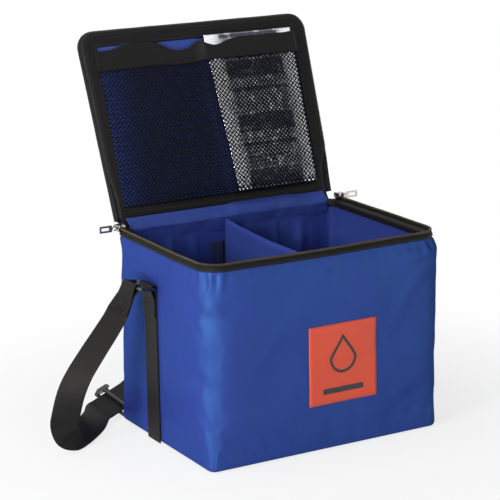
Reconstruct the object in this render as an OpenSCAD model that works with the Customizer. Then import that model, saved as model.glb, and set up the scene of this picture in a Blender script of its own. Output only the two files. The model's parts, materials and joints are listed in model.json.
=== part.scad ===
// Soft-sided insulated transport bag for specimens.
// The zipped lid stands open behind the bag and holds a cold pack in a net pocket.
// A lift-out divider parts the inside, and a shoulder strap runs between two side rings.
// The origin is the middle of the base, with +X to the right, +Y to the back and +Z up.

/* [Bag] */
// Width of the bag, side to side
body_w = 305; // [260:5:340]
// Depth of the bag, front to back
body_d = 228; // [200:4:260]
// Height of the blue cloth, from the floor to the black rim
body_h = 230; // [190:5:280]
// Radius of the upright corners
corner_r = 24; // [18:1:32]

/* [Layers] */
// Thickness of the outer cloth
cloth_t = 1.2; // [0.8:0.1:1.6]
// Thickness of the padding in the walls
wall_foam_t = 8; // [6:0.5:10]
// Thickness of the padding in the floor
floor_foam_t = 10; // [6:0.5:14]
// Thickness of the lining
lining_t = 1; // [0.8:0.1:1.4]
// Play between two sewn layers
ply_gap = 0.2; // [0.1:0.05:0.3]

/* [Rim and zip] */
// Height of the bound edge above the blue cloth
bound_rise = 4; // [3:0.5:6]
// Thickness of the rim binding
binding_t = 0.8; // [0.6:0.1:1.2]
// Thickness of the zip tapes
tape_t = 1.2; // [0.8:0.1:1.6]
// Radius of the cord of zip teeth
teeth_r = 1.5; // [1.2:0.1:1.8]

/* [Lid] */
// Angle of the lid at rest, from closed
lid_open = 108.3; // [95:0.5:120]
// Height of the hinge line above the blue cloth
hinge_rise = 10; // [9:0.5:12]
// Distance of the hinge line behind the bag
hinge_back = 2; // [1:0.5:4]
// Width of the lid past the bag on each side
lid_over = 2; // [1:0.5:4]
// Radius of the two front corners of the lid
lid_corner_r = 20; // [12:1:30]
// Thickness of the padding in the lid
lid_foam_t = 8; // [6:0.5:12]
// Width of the black border inside the lid
border_w = 17; // [12:1:22]
// Width of the notch where the zip passes the hinge, on each side
notch_w = 13.5; // [12:0.5:20]
// Length of that notch along the side of the lid
notch_l = 26; // [22:1:34]

/* [Net pocket] */
// Half of the pocket's width
pocket_half_w = 139; // [120:1:141]
// Distance from the hinge to the pocket's closed end
pocket_start = 16; // [14:0.5:20]
// Distance from the hinge to the top of the net
net_end = 180; // [150:1:190]
// Width of the hem along the pocket's mouth
hem_w = 16; // [10:1:20]
// Depth of the pocket beside the cold pack
pocket_shallow = 7.4; // [6:0.1:8]
// Depth of the pocket over the cold pack
pocket_deep = 14.2; // [13.6:0.1:16]
// Thickness of the net
net_t = 0.9; // [0.7:0.1:1.2]
// Gaps in the net, across and along
net_gaps = [16, 12];
// Width of the strands between two gaps
strand_w = 2.2; // [1.6:0.1:3]

/* [Cold pack] */
// Width of the cold pack
pack_w = 122; // [90:1:124]
// Length of the cold pack
pack_l = 194; // [150:1:196]
// Thickness of the cold pack
pack_t = 12; // [8:0.5:12.4]
// Width of the flat seals at its edges
pack_seal = 9; // [6:0.5:14]

/* [Divider] */
// Place of the divider, left of the middle
divider_x = -18; // [-40:1:-15]
// Thickness of the divider's board
board_t = 5; // [3:0.5:6]
// Width of the hook and loop tapes
grip_w = 25; // [20:1:38]

/* [Strap] */
// Width of the webbing
web_w = 38; // [25:1:40]
// Thickness of the webbing
web_t = 1.8; // [1.2:0.1:2.4]
// Distance of the strap in front of or behind the middle of the sides
strap_y = 24; // [0:1:30]
// Height of the ring's inner bar
ring_z = 187; // [150:1:200]
// Radius of the ring's wire
wire_r = 2; // [1.5:0.1:2.5]
// Distance between the ring's two bars
ring_l = 20; // [18:0.5:26]
// Angle of the ring above level
ring_tilt = 10; // [0:1:20]
// Angle of the strap below level where it leaves the ring
strap_fall = 58; // [50:1:70]
// Length of the sewn strap end
strap_end_l = 34; // [28:1:45]

/* [Adjuster] */
// Length of the adjuster along the strap
adjuster_l = 28; // [24:1:36]
// Thickness of the adjuster
adjuster_t = 7.2; // [6:0.2:9]
// Width of the adjuster's bars
adjuster_bar = 5; // [4:0.5:6]

/* [Label] */
// Width of the bare patch on the front
patch_w = 90; // [60:1:120]
// Height of the patch
patch_h = 93; // [60:1:120]
// Centre of the patch, right of the middle and above the floor
patch_at = [17, 104];
// Thickness of the patch
patch_t = 0.8; // [0.5:0.1:1.2]

/* [Hidden] */
$fn = 64;
eps = 0.01;

// Half sizes of the bag and how far each layer lies inside the outer face
half_w = body_w / 2;
half_d = body_d / 2;
foam_in = cloth_t + ply_gap;
liner_in = foam_in + wall_foam_t + ply_gap;
inside_in = liner_in + lining_t;
wall_top = body_h + bound_rise;
floor_foam_z = cloth_t + ply_gap;
liner_floor_z = floor_foam_z + floor_foam_t + ply_gap;
inside_z = liner_floor_z + lining_t;
straight_w = half_w - corner_r;
straight_d = half_d - corner_r;

// The hinge line, and the lid measured from it
hinge_y = half_d + hinge_back;
hinge_z = body_h + hinge_rise;
lid_half_w = half_w + lid_over;
lid_l = hinge_y + half_d;
lid_start = 2;
edge_in = 3.2;
border_h = 0.4;
layer_t = 1;
strip_in = 3.5;
hinge_half = lid_half_w - notch_w - 3;
piping_r = lid_start - 0.3;
lining_h = border_h + layer_t + ply_gap;
lid_foam_h = lining_h + layer_t + ply_gap;
cover_h = lid_foam_h + lid_foam_t + ply_gap;

// The zip's lower half, which ends where the slider parks
binding_top = wall_top + ply_gap + binding_t;
zip_end_y = half_d - 8;
teeth_z = hinge_z - 2;
teeth_in = tape_t / 2;
seam_gap = 0.05;
lid_teeth_h = 2.2;
lid_teeth_in = 1.4;

// The slider, measured from the axis of the teeth
slider_l = 13;
slider_y = half_d - 14;
plate_t = 2;
plate_gap = 0.8;
plate_low = teeth_z - binding_top - 0.4;
plate_high = 5.2;
bail_out = 4;
bail_r = 1;
pull_l = 17;
pull_w = 8;
pull_t = 1.6;
eye_r = 2.4;
pull_play = 0.3;

// The net pocket's section, as points across the lid and down from it
pocket_top = border_h - ply_gap;
net_step = [-8, 4];
net_slope = 10;
net_line = [[-pocket_half_w, pocket_top], [-pocket_half_w + 3, pocket_top],
    [-pocket_half_w + 3 + net_slope, -pocket_shallow], [net_step[0], -pocket_shallow],
    [net_step[1], -pocket_deep], [pocket_half_w - 2 - net_slope, -pocket_deep],
    [pocket_half_w - 2, pocket_top], [pocket_half_w, pocket_top]];
pack_x = (net_step[1] + pocket_half_w - 2 - net_slope) / 2 + 1;
pack_h = -pocket_deep / 2 + pocket_top / 2;
pack_start = pocket_start + 1.6;

// The divider
cover_t = 0.8;
divider_t = board_t + 2 * (ply_gap + cover_t);
divider_top = body_h - 0.5;
divider_z = inside_z + 0.3;
inside_half_d = half_d - inside_in;
grip_t = 1;
grip_low = inside_z + 20;
grip_high = divider_top - 25;
divider_half_l = inside_half_d - 2 * grip_t - 3 * ply_gap;

// The side webbing, its loop and the ring
web_half = web_w / 2;
loop_play = 0.3;
loop_in_r = wire_r + loop_play;
loop_out_r = loop_in_r + web_t;
ring_x = half_w + ply_gap + loop_out_r;
outer_bar = [ring_x + ring_l * cos(ring_tilt), ring_z + ring_l * sin(ring_tilt)];
arm_y = web_half + 1 + wire_r;
end_play = 0.5;
strap_from = [outer_bar[0] + (strap_end_l + end_play) * cos(strap_fall),
    outer_bar[1] - (strap_end_l + end_play) * sin(strap_fall)];
end_run = [10 * cos(strap_fall), 10 * sin(strap_fall)];

// The straight run of the strap beside the bag, which carries the adjuster
run_bank = 30;
run_heading = 36.87;
adjuster_half_w = web_half + 0.4 + adjuster_bar;
run_z = adjuster_half_w * sin(run_bank) + adjuster_t / 2 * cos(run_bank) + 0.3;
run_dir = [cos(run_heading), sin(run_heading), 0];
run_side = [-sin(run_heading) * cos(run_bank), cos(run_heading) * cos(run_bank), sin(run_bank)];
run_start = [-half_w - 23, half_d + 1, run_z];
adjuster_at = 20;

// Flat webbing on the floor lies half its thickness and a little above it
lay_z = web_t / 2 + 1;

// The strap's route from the left ring to the right one, each point with the way its width faces
route = [
    [[-strap_from[0], strap_y, strap_from[1]], [0, 1, 0]],
    [[-strap_from[0] - end_run[0], strap_y, strap_from[1] - end_run[1]], [0, 1, 0]],
    [[-212, strap_y, 138], [-0.3, 0.95, 0]],
    [[-228, 24, 121], [-0.55, 0.83, 0]],
    [[-245, 25, 97], [-0.6, 0.8, 0]],
    [[-257, 27, 72], [-0.6, 0.8, 0]],
    [[-265, 31, 46], [-0.6, 0.8, 0]],
    [[-267, 33, 28], [-0.6, 0.8, 0]],
    [[-262, 39, 10], [-0.6, 0.8, 0]],
    [[-248, 51, lay_z + 0.6], [-0.6, 0.8, 0]],
    [[-228, 67, lay_z], [-0.6, 0.8, 0]],
    [[-206, 86, 7], [-0.58, 0.77, 0.25]],
    [run_start - 12 * run_dir, run_side],
    [run_start, run_side],
    [run_start + 24 * run_dir, run_side],
    [run_start + 48 * run_dir, run_side],
    [run_start + 72 * run_dir, run_side],
    [run_start + 90 * run_dir, run_side],
    [[-78, 181, 7], [-0.35, 0.9, 0.25]],
    [[-45, 190, lay_z], [-0.1, 0.99, 0]],
    [[0, 192, lay_z], [0, 1, 0]],
    [[50, 189, lay_z], [0.1, 0.99, 0]],
    [[95, 180, 5], [0.3, 0.93, 0.15]],
    [[135, 160, 7], [0.52, 0.82, 0.25]],
    [[165, 130, 6.4], [0.74, 0.64, 0.2]],
    [[188, 96, lay_z], [0.86, 0.5, 0]],
    [[200, 74, lay_z + 0.8], [0.87, 0.49, 0]],
    [[209, 58, 12], [0.86, 0.5, 0]],
    [[213, 50, 34], [0.83, 0.55, 0]],
    [[214, 44, 66], [0.75, 0.66, 0]],
    [[212, 37, 98], [0.6, 0.8, 0]],
    [[206, strap_y, 134], [0.1, 0.99, 0]],
    [[strap_from[0] + end_run[0], strap_y, strap_from[1] - end_run[1]], [0, 1, 0]],
    [[strap_from[0], strap_y, strap_from[1]], [0, 1, 0]]];

// A point a share t of the way from b to c on a smooth curve through a, b, c and d
function between(a, b, c, d, t) = 0.5 * (2 * b + (c - a) * t
    + (2 * a - 5 * b + 4 * c - d) * t * t + (3 * b - a - 3 * c + d) * t * t * t);
function unit(v) = v / norm(v);
function stop(list, i) = list[max(0, min(len(list) - 1, i))];
function route_at(i, t, k) = between(stop(route, i - 1)[k], stop(route, i)[k],
    stop(route, i + 1)[k], stop(route, i + 2)[k], t);

// Plan shapes
module rounded_plan(hw, hd, r) {
    square([2 * hw, 2 * (hd - r)], center = true);
    square([2 * (hw - r), 2 * hd], center = true);
    for (sx = [-1, 1], sy = [-1, 1])
        translate([sx * (hw - r), sy * (hd - r)]) circle(r);
}

module plan(inset) {
    rounded_plan(half_w - inset, half_d - inset, corner_r - inset);
}

module wall_plan(outer, inner) {
    difference() {
        plan(outer);
        plan(inner);
    }
}

module three_sides(z, h) {
    translate([-body_w, -body_d, z]) cube([2 * body_w, body_d + zip_end_y, h]);
}

// A lid outline with round front corners and a notch at each end of the hinge
module lid_plan(inset) {
    hw = lid_half_w - inset;
    r = lid_corner_r - inset;
    far = lid_l - inset;
    difference() {
        union() {
            translate([-hw, -far + r]) square([2 * hw, far - r - lid_start - inset]);
            translate([-hw + r, -far]) square([2 * (hw - r), r + eps]);
            for (sx = [-1, 1]) translate([sx * (hw - r), -far + r]) circle(r);
        }
        for (sx = [-1, 1])
            translate([sx * (lid_half_w + 1) - (sx > 0 ? notch_w + 1 + inset : 0), -notch_l - inset])
                square([notch_w + 1 + inset, notch_l + inset]);
    }
}

module lid_frame() {
    translate([0, hinge_y, hinge_z]) rotate([-lid_open, 0, 0]) children();
}

// Draws a section across the lid and runs it from one distance from the hinge to another
module along_lid(from, to) {
    translate([0, -from, 0]) rotate([90, 0, 0]) linear_extrude(to - from) children();
}

module lid_layer(h, t, inset) {
    lid_frame() translate([0, 0, h]) linear_extrude(t) lid_plan(inset);
}

// A round cord along the three open sides of an outline
module cord_round(hw, front, r, back, cord_r) {
    for (sx = [-1, 1]) {
        translate([sx * hw, back, 0]) rotate([90, 0, 0]) cylinder(h = back - front - r, r = cord_r);
        translate([sx * (hw - r), front + r, 0]) rotate([0, 0, sx > 0 ? -90 : 180])
            rotate_extrude(angle = 90) translate([r, 0]) circle(cord_r, $fn = 24);
    }
    translate([-hw + r, front, 0]) rotate([0, 90, 0]) cylinder(h = 2 * (hw - r), r = cord_r);
}

// Bag pieces
module outer_shell() {
    color("royalblue") linear_extrude(wall_top) wall_plan(0, cloth_t);
}

module base_panel() {
    color("royalblue") linear_extrude(cloth_t) plan(foam_in);
}

module base_foam() {
    color("whitesmoke") translate([0, 0, floor_foam_z]) linear_extrude(floor_foam_t) plan(foam_in);
}

module wall_foam(size, at) {
    h = wall_top - liner_floor_z;
    color("whitesmoke") translate([at[0], at[1], liner_floor_z + h / 2])
        cube([size[0], size[1], h], center = true);
}

module front_back_foam(side) {
    wall_foam([2 * straight_w, wall_foam_t], [0, side * (half_d - foam_in - wall_foam_t / 2)]);
}

module side_foam(side) {
    wall_foam([wall_foam_t, 2 * straight_d], [side * (half_w - foam_in - wall_foam_t / 2), 0]);
}

module liner_wall() {
    color("mediumblue") translate([0, 0, liner_floor_z]) linear_extrude(wall_top - liner_floor_z)
        wall_plan(liner_in, inside_in);
}

module liner_floor() {
    color("mediumblue") translate([0, 0, liner_floor_z]) linear_extrude(lining_t)
        plan(inside_in + ply_gap);
}

// The binding folds over the top of all the wall's layers
module rim_binding() {
    leg = ply_gap + binding_t;
    color("black") intersection() {
        difference() {
            translate([0, 0, body_h]) linear_extrude(binding_top - body_h)
                wall_plan(-leg, inside_in + leg);
            translate([0, 0, body_h - 1]) linear_extrude(wall_top + ply_gap - body_h + 1)
                wall_plan(-ply_gap, inside_in + ply_gap);
        }
        three_sides(body_h - 1, 20);
    }
}

// The tape follows the rim, and its two ends run on straight past the back corners
module body_zip_tape() {
    color("black") translate([0, 0, binding_top])
        linear_extrude(teeth_z - teeth_r - seam_gap - binding_top) {
            intersection() {
                wall_plan(0, tape_t);
                translate([-body_w, -body_d]) square([2 * body_w, body_d + straight_d]);
            }
            for (sx = [-1, 1]) translate([sx * (half_w - teeth_in) - tape_t / 2, straight_d - eps])
                square([tape_t, zip_end_y - straight_d]);
        }
}

module body_zip_teeth() {
    color("goldenrod") translate([0, 0, teeth_z])
        cord_round(half_w - teeth_in, -half_d + teeth_in, corner_r - teeth_in, zip_end_y, teeth_r);
}

// The hinge is a strip of cloth sewn round a piping, which the edge of the lid turns about
module hinge_strip() {
    color("royalblue") translate([-hinge_half, 0, 0]) rotate([90, 0, 90])
        linear_extrude(2 * hinge_half) {
            translate([half_d - strip_in, wall_top]) square([strip_in - 0.5, hinge_z - ply_gap - wall_top]);
            translate([half_d - strip_in, hinge_z - 1.5]) square([strip_in + hinge_back, 1.5 - ply_gap]);
            translate([hinge_y, hinge_z]) circle(piping_r);
        }
}

module front_patch() {
    color("orangered") translate([patch_at[0] - patch_w / 2, -half_d - patch_t, patch_at[1] - patch_h / 2])
        cube([patch_w, patch_t, patch_h]);
}

// The side webbing comes up the wall, goes round the ring and is sewn back on itself
module anchor_webbing() {
    wall_ply = ring_x - loop_out_r;
    outer_ply = wall_ply + web_t;
    sewn_z = ring_z - 3 * loop_out_r;
    tail_z = ring_z - 34;
    color([0.12, 0.12, 0.12]) translate([0, strap_y + web_half, 0]) rotate([90, 0, 0])
        linear_extrude(web_w) {
            difference() {
                union() {
                    translate([ring_x, ring_z]) circle(loop_out_r);
                    translate([wall_ply, 0.6]) square([web_t, ring_z - 0.6]);
                    polygon([[ring_x + loop_out_r, ring_z], [ring_x + loop_in_r, ring_z],
                        [outer_ply, sewn_z], [outer_ply - eps, tail_z],
                        [outer_ply + web_t, tail_z], [outer_ply + web_t, sewn_z]]);
                }
                translate([ring_x, ring_z]) circle(loop_in_r);
            }
        }
}

module grip_tape(side) {
    color("dimgray") translate([divider_x - grip_w / 2,
        side * (inside_half_d - ply_gap - grip_t / 2) - grip_t / 2, grip_low])
        cube([grip_w, grip_t, grip_high - grip_low]);
}

// The strap is one length of flat webbing, swept along its route
module shoulder_strap() {
    steps = 3;
    last = len(route) - 2;
    stations = [for (i = [0 : last], j = [0 : steps - 1]) [i, j / steps], [last, 1]];
    middles = [for (s = stations) route_at(s[0], s[1], 0)];
    count = len(middles);
    aheads = [for (k = [0 : count - 1]) unit(stop(middles, k + 1) - stop(middles, k - 1))];
    sides = [for (k = [0 : count - 1])
        let (w = route_at(stations[k][0], stations[k][1], 1))
        unit(w - (w * aheads[k]) * aheads[k])];
    corners = [for (k = [0 : count - 1]) let (n = cross(aheads[k], sides[k]))
        for (c = [[-1, -1], [1, -1], [1, 1], [-1, 1]])
            middles[k] + c[0] * web_half * sides[k] + c[1] * web_t / 2 * n];
    walls = [for (k = [0 : count - 2], e = [0 : 3])
        let (a = 4 * k + e, b = 4 * k + (e + 1) % 4)
        each [[a, a + 4, b + 4], [a, b + 4, b]]];
    ends = [[0, 1, 2], [0, 2, 3],
        [4 * count - 4, 4 * count - 2, 4 * count - 3], [4 * count - 4, 4 * count - 1, 4 * count - 2]];
    color([0.12, 0.12, 0.12]) polyhedron(points = corners, faces = concat(walls, ends));
    lengths = [for (k = [1 : count - 1]) norm(middles[k] - middles[k - 1])];
    echo(strap_length = lengths * [for (l = lengths) 1]);
}

// Lid pieces
module lid_cover() {
    color("royalblue") lid_layer(cover_h, cloth_t, 0);
}

module lid_foam() {
    color("whitesmoke") lid_layer(lid_foam_h, lid_foam_t, edge_in);
}

module lid_lining() {
    color("mediumblue") lid_layer(lining_h, layer_t, edge_in);
}

module lid_edge_band() {
    low = lid_teeth_h + teeth_r + ply_gap;
    color("black") lid_frame() translate([0, 0, low]) linear_extrude(cover_h - ply_gap - low)
        difference() {
            lid_plan(0);
            lid_plan(tape_t);
        }
}

module lid_zip_teeth() {
    color("goldenrod") lid_frame() translate([0, 0, lid_teeth_h])
        cord_round(lid_half_w - lid_teeth_in, -lid_l + lid_teeth_in, lid_corner_r - lid_teeth_in,
            -notch_l - 2, teeth_r);
}

module lid_border_tape() {
    color("black") lid_frame() translate([0, 0, border_h]) linear_extrude(layer_t) {
        difference() {
            lid_plan(edge_in);
            translate([-lid_half_w + edge_in + border_w, -lid_l + edge_in + border_w])
                square([2 * (lid_half_w - edge_in - border_w), lid_l - edge_in - border_w - pocket_start]);
        }
        translate([-hinge_half, -lid_start - edge_in - eps]) square([2 * hinge_half, edge_in + eps]);
    }
}

module net_section(t) {
    count = len(net_line);
    polygon(concat(net_line, [for (i = [count - 1 : -1 : 0]) net_line[i] - [0, t]]));
}

// The mesh shows its gaps as a plain grid of square holes
module pocket_net() {
    gap_w = (2 * pocket_half_w - 2 * net_slope - 8) / net_gaps[0];
    gap_l = (net_end - pocket_start - 4) / net_gaps[1];
    color([0.1, 0.1, 0.15]) lid_frame() difference() {
        along_lid(pocket_start + 1.2, net_end) net_section(net_t);
        for (i = [0 : net_gaps[0] - 1], j = [0 : net_gaps[1] - 1])
            translate([-pocket_half_w + net_slope + 4 + (i + 0.5) * gap_w,
                -pocket_start - 3 - (j + 0.5) * gap_l, -pocket_deep - 2 * net_t])
                translate([-(gap_w - strand_w) / 2, -(gap_l - strand_w) / 2, 0])
                    cube([gap_w - strand_w, gap_l - strand_w, pocket_deep + 1.5 * net_t]);
    }
}

module pocket_hem() {
    color("black") lid_frame() along_lid(net_end, net_end + hem_w) net_section(net_t + 0.5);
}

// The pocket's closed end is a strip as deep as the pocket
module pocket_gusset() {
    color("black") lid_frame() along_lid(pocket_start, pocket_start + 1.2)
        polygon([for (i = [1 : len(net_line) - 2]) net_line[i] - [0, net_line[i][1] < 0 ? net_t : 0]]);
}

// The cold pack is a flat pouch, thick in the middle, with a seal all round
module cold_pack() {
    half = pack_w / 2;
    flat = half - pack_seal;
    bulge = [for (a = [-60 : 12 : 60]) [flat * sin(a) / sin(60), pack_t / 2 * (cos(a) - 0.5) / 0.5]];
    belly = [for (i = [len(bulge) - 1 : -1 : 0]) [bulge[i][0], -bulge[i][1]]];
    seal_t = 1.2;
    color("silver") lid_frame() translate([pack_x, 0, pack_h]) {
        along_lid(pack_start + pack_seal, pack_start + pack_l - pack_seal)
            polygon(concat(bulge, belly));
        along_lid(pack_start, pack_start + pack_l)
            translate([-half, -seal_t / 2]) square([pack_w, seal_t]);
    }
}

// Divider pieces
module divider_block(t, half_l, z, h) {
    translate([divider_x - t / 2, -half_l, z]) cube([t, 2 * half_l, h]);
}

module divider_cover() {
    h = divider_top - divider_z;
    color("royalblue") difference() {
        divider_block(divider_t, divider_half_l, divider_z, h);
        divider_block(board_t + 2 * ply_gap, divider_half_l - cover_t, divider_z + cover_t,
            h - 2 * cover_t);
    }
}

module divider_board() {
    edge = cover_t + ply_gap;
    color("whitesmoke") divider_block(board_t, divider_half_l - edge, divider_z + edge,
        divider_top - divider_z - 2 * edge);
}

module hook_tape(side) {
    color("black") translate([divider_x - divider_t / 2,
        side * (divider_half_l + ply_gap + grip_t / 2) - grip_t / 2, grip_low])
        cube([divider_t, grip_t, grip_high - grip_low]);
}

// The slider straddles the teeth, and its bail carries the pull
module slider() {
    out = teeth_r + plate_gap;
    color("silver") translate([-half_w + teeth_in, slider_y, teeth_z]) {
        for (sx = [-1, 1])
            translate([sx > 0 ? out : -out - plate_t, 0, 0]) rotate([90, 0, 90]) linear_extrude(plate_t)
                slider_plate();
        translate([-out - eps, -slider_l / 2 + 3, teeth_r + 0.6])
            cube([2 * out + 2 * eps, slider_l - 6, plate_high - teeth_r - 0.6]);
        for (z = [-plate_low + 1, plate_high - 2.2])
            translate([-out - plate_t - bail_out, -1.4, z]) cube([bail_out + eps, 2.8, 1.2]);
        translate([-out - plate_t - bail_out + bail_r + 0.4, 0, -plate_low + 1 + eps])
            cylinder(h = plate_low + plate_high - 2.4, r = bail_r);
    }
}

module slider_plate() {
    nose = 3;
    translate([-slider_l / 2 + nose, -plate_low]) square([slider_l - 2 * nose, plate_low + plate_high]);
    translate([-slider_l / 2, -plate_low + nose]) square([slider_l, plate_low + plate_high - 2 * nose]);
    for (sx = [-1, 1], sy = [-plate_low + nose, plate_high - nose])
        translate([sx * (slider_l / 2 - nose), sy]) circle(nose);
}

// The pull is a flat tab with an eye round the bail and a slot near its end
module pull() {
    bail_x = -half_w + teeth_in - teeth_r - plate_gap - plate_t - bail_out + bail_r + 0.4;
    eye_low = teeth_z - plate_low + 2.6;
    eye_h = plate_low + plate_high - 5.4;
    color("silver") translate([bail_x, slider_y, 0]) {
        difference() {
            union() {
                translate([0, 0, eye_low]) cylinder(h = eye_h, r = eye_r);
                translate([-4, -pull_t / 2, eye_low]) cube([4, pull_t, eye_h]);
                translate([-pull_l - 2, pull_t / 2, eye_low + eye_h / 2 - pull_w / 2])
                    rotate([90, 0, 0]) linear_extrude(pull_t) difference() {
                        square([pull_l - 1.4, pull_w]);
                        translate([2, (pull_w - 3.6) / 2]) square([pull_l - 7, 3.6]);
                    }
            }
            translate([0, 0, eye_low - 1]) cylinder(h = eye_h + 2, r = bail_r + pull_play);
        }
    }
}

// A wire ring of two long bars and two arms, with round corners
module ring() {
    bend = wire_r + 1;
    color([0.2, 0.2, 0.22]) translate([ring_x, strap_y, ring_z]) rotate([0, -ring_tilt, 0]) {
        for (x = [0, ring_l])
            translate([x, -arm_y + bend, 0]) rotate([-90, 0, 0]) cylinder(h = 2 * (arm_y - bend), r = wire_r);
        for (sy = [-1, 1])
            translate([bend, sy * arm_y, 0]) rotate([0, 90, 0]) cylinder(h = ring_l - 2 * bend, r = wire_r);
        for (sx = [0, 1], sy = [-1, 1])
            translate([sx * ring_l + (1 - 2 * sx) * bend, sy * (arm_y - bend), 0])
                rotate([0, 0, sx > 0 ? (sy > 0 ? 0 : -90) : (sy > 0 ? 90 : 180)])
                    rotate_extrude(angle = 90) translate([bend, 0]) circle(wire_r, $fn = 24);
    }
}

// The strap's end wraps the ring's outer bar and is sewn flat on itself
module strap_end() {
    sewn_t = 2 * web_t;
    color([0.12, 0.12, 0.12]) translate([outer_bar[0], strap_y + web_half, outer_bar[1]])
        rotate([90, 0, 0]) linear_extrude(web_w) rotate(-strap_fall) difference() {
            union() {
                circle(loop_out_r);
                polygon([[0, -loop_out_r], [loop_out_r * 2.2, -sewn_t / 2], [strap_end_l, -sewn_t / 2],
                    [strap_end_l, sewn_t / 2], [loop_out_r * 2.2, sewn_t / 2], [0, loop_out_r]]);
            }
            circle(loop_in_r);
        }
}

// The adjuster has a middle bar over the strap and an end bar under it on each side
module strap_adjuster() {
    through = web_t / 2 + 0.4;
    window_l = (adjuster_l - 3 * adjuster_bar) / 2;
    r = 4;
    color([0.15, 0.15, 0.15]) translate(run_start) rotate([run_bank, 0, run_heading])
        translate([adjuster_at + adjuster_l / 2, 0, 0]) difference() {
            translate([0, 0, -adjuster_t / 2]) linear_extrude(adjuster_t)
                rounded_plan(adjuster_l / 2, adjuster_half_w, r);
            cube([2 * adjuster_l, web_w + 0.8, 2 * through], center = true);
            for (sx = [-1, 1]) translate([sx * (adjuster_bar / 2 + adjuster_l / 2), 0, adjuster_t / 2])
                cube([adjuster_l, web_w + 0.8, adjuster_t], center = true);
            translate([0, 0, -adjuster_t / 2])
                cube([adjuster_l - 2 * adjuster_bar, web_w + 0.8, adjuster_t], center = true);
        }
}

outer_shell();
base_panel();
base_foam();
front_back_foam(-1);  // front_foam
front_back_foam(1);  // back_foam
side_foam(-1);  // left_foam
side_foam(1);  // right_foam
liner_wall();
liner_floor();
rim_binding();
body_zip_tape();
body_zip_teeth();
hinge_strip();
front_patch();
mirror([1, 0, 0]) anchor_webbing();  // left_anchor_webbing
anchor_webbing();  // right_anchor_webbing
grip_tape(-1);  // front_loop_tape
grip_tape(1);  // back_loop_tape
shoulder_strap();
lid_cover();
lid_foam();
lid_lining();
lid_edge_band();
lid_zip_teeth();
lid_border_tape();
pocket_net();
pocket_hem();
pocket_gusset();
cold_pack();
divider_board();
divider_cover();
hook_tape(-1);  // divider_front_hook
hook_tape(1);  // divider_back_hook
slider();  // left_slider
mirror([1, 0, 0]) slider();  // right_slider
pull();  // left_pull
mirror([1, 0, 0]) pull();  // right_pull
mirror([1, 0, 0]) ring();  // left_ring
ring();  // right_ring
mirror([1, 0, 0]) strap_end();  // left_strap_end
strap_end();  // right_strap_end
strap_adjuster();
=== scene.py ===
"""Dresses the insulated specimen transport bag: cloth, zip, net, cold pack, divider and strap."""

import json
import logging
import math
from dataclasses import dataclass, field
from enum import Enum
from itertools import accumulate
from typing import Callable, Dict, Iterable, List, Optional, Sequence, Tuple

import bpy
import numpy as np
from mathutils import Matrix, Vector, noise

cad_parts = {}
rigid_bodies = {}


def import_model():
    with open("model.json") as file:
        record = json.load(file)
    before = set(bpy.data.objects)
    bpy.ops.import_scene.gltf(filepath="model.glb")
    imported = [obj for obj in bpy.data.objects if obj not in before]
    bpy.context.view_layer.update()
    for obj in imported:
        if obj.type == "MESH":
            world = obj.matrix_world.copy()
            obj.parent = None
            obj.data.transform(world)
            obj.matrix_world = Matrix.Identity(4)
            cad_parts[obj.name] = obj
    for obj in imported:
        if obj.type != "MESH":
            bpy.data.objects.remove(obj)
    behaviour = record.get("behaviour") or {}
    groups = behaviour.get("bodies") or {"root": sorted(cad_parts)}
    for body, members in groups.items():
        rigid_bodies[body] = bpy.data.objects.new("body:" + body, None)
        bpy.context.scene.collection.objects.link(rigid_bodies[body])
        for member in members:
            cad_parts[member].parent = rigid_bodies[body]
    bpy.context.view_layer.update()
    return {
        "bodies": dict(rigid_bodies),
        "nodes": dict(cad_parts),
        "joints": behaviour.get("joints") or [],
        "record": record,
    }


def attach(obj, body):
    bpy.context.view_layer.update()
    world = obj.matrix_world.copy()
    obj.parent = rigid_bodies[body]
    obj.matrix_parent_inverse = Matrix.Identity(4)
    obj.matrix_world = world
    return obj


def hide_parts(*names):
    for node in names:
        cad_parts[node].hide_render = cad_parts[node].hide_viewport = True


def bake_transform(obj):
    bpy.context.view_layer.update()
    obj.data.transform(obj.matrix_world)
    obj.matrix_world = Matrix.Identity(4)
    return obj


LOG = logging.getLogger("bag")
Point = Tuple[float, float, float]
Flat = Tuple[float, float]
Colour = Tuple[float, float, float]
Station = Tuple[float, float, float, float]
Face = Tuple[int, ...]
Socket = bpy.types.NodeSocket
MM = 0.001


class Body(Enum):
    """The bodies that the pieces ride on."""

    BAG = "bag"
    LID = "lid"
    PACK = "pack"
    DIVIDER = "divider"
    LEFT_RING = "left_ring_link"
    RIGHT_RING = "right_ring_link"


class Side(Enum):
    """Left and right as the sign of x."""

    LEFT = -1
    RIGHT = 1


# ---------------------------------------------------------------- sizes


def smooth_step(a: float, b: float, x: float) -> float:
    """Returns 0 below a, 1 above b and a smooth rise between them."""
    t = min(1.0, max(0.0, (x - a) / (b - a)))
    return t * t * (3 - 2 * t)


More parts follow.
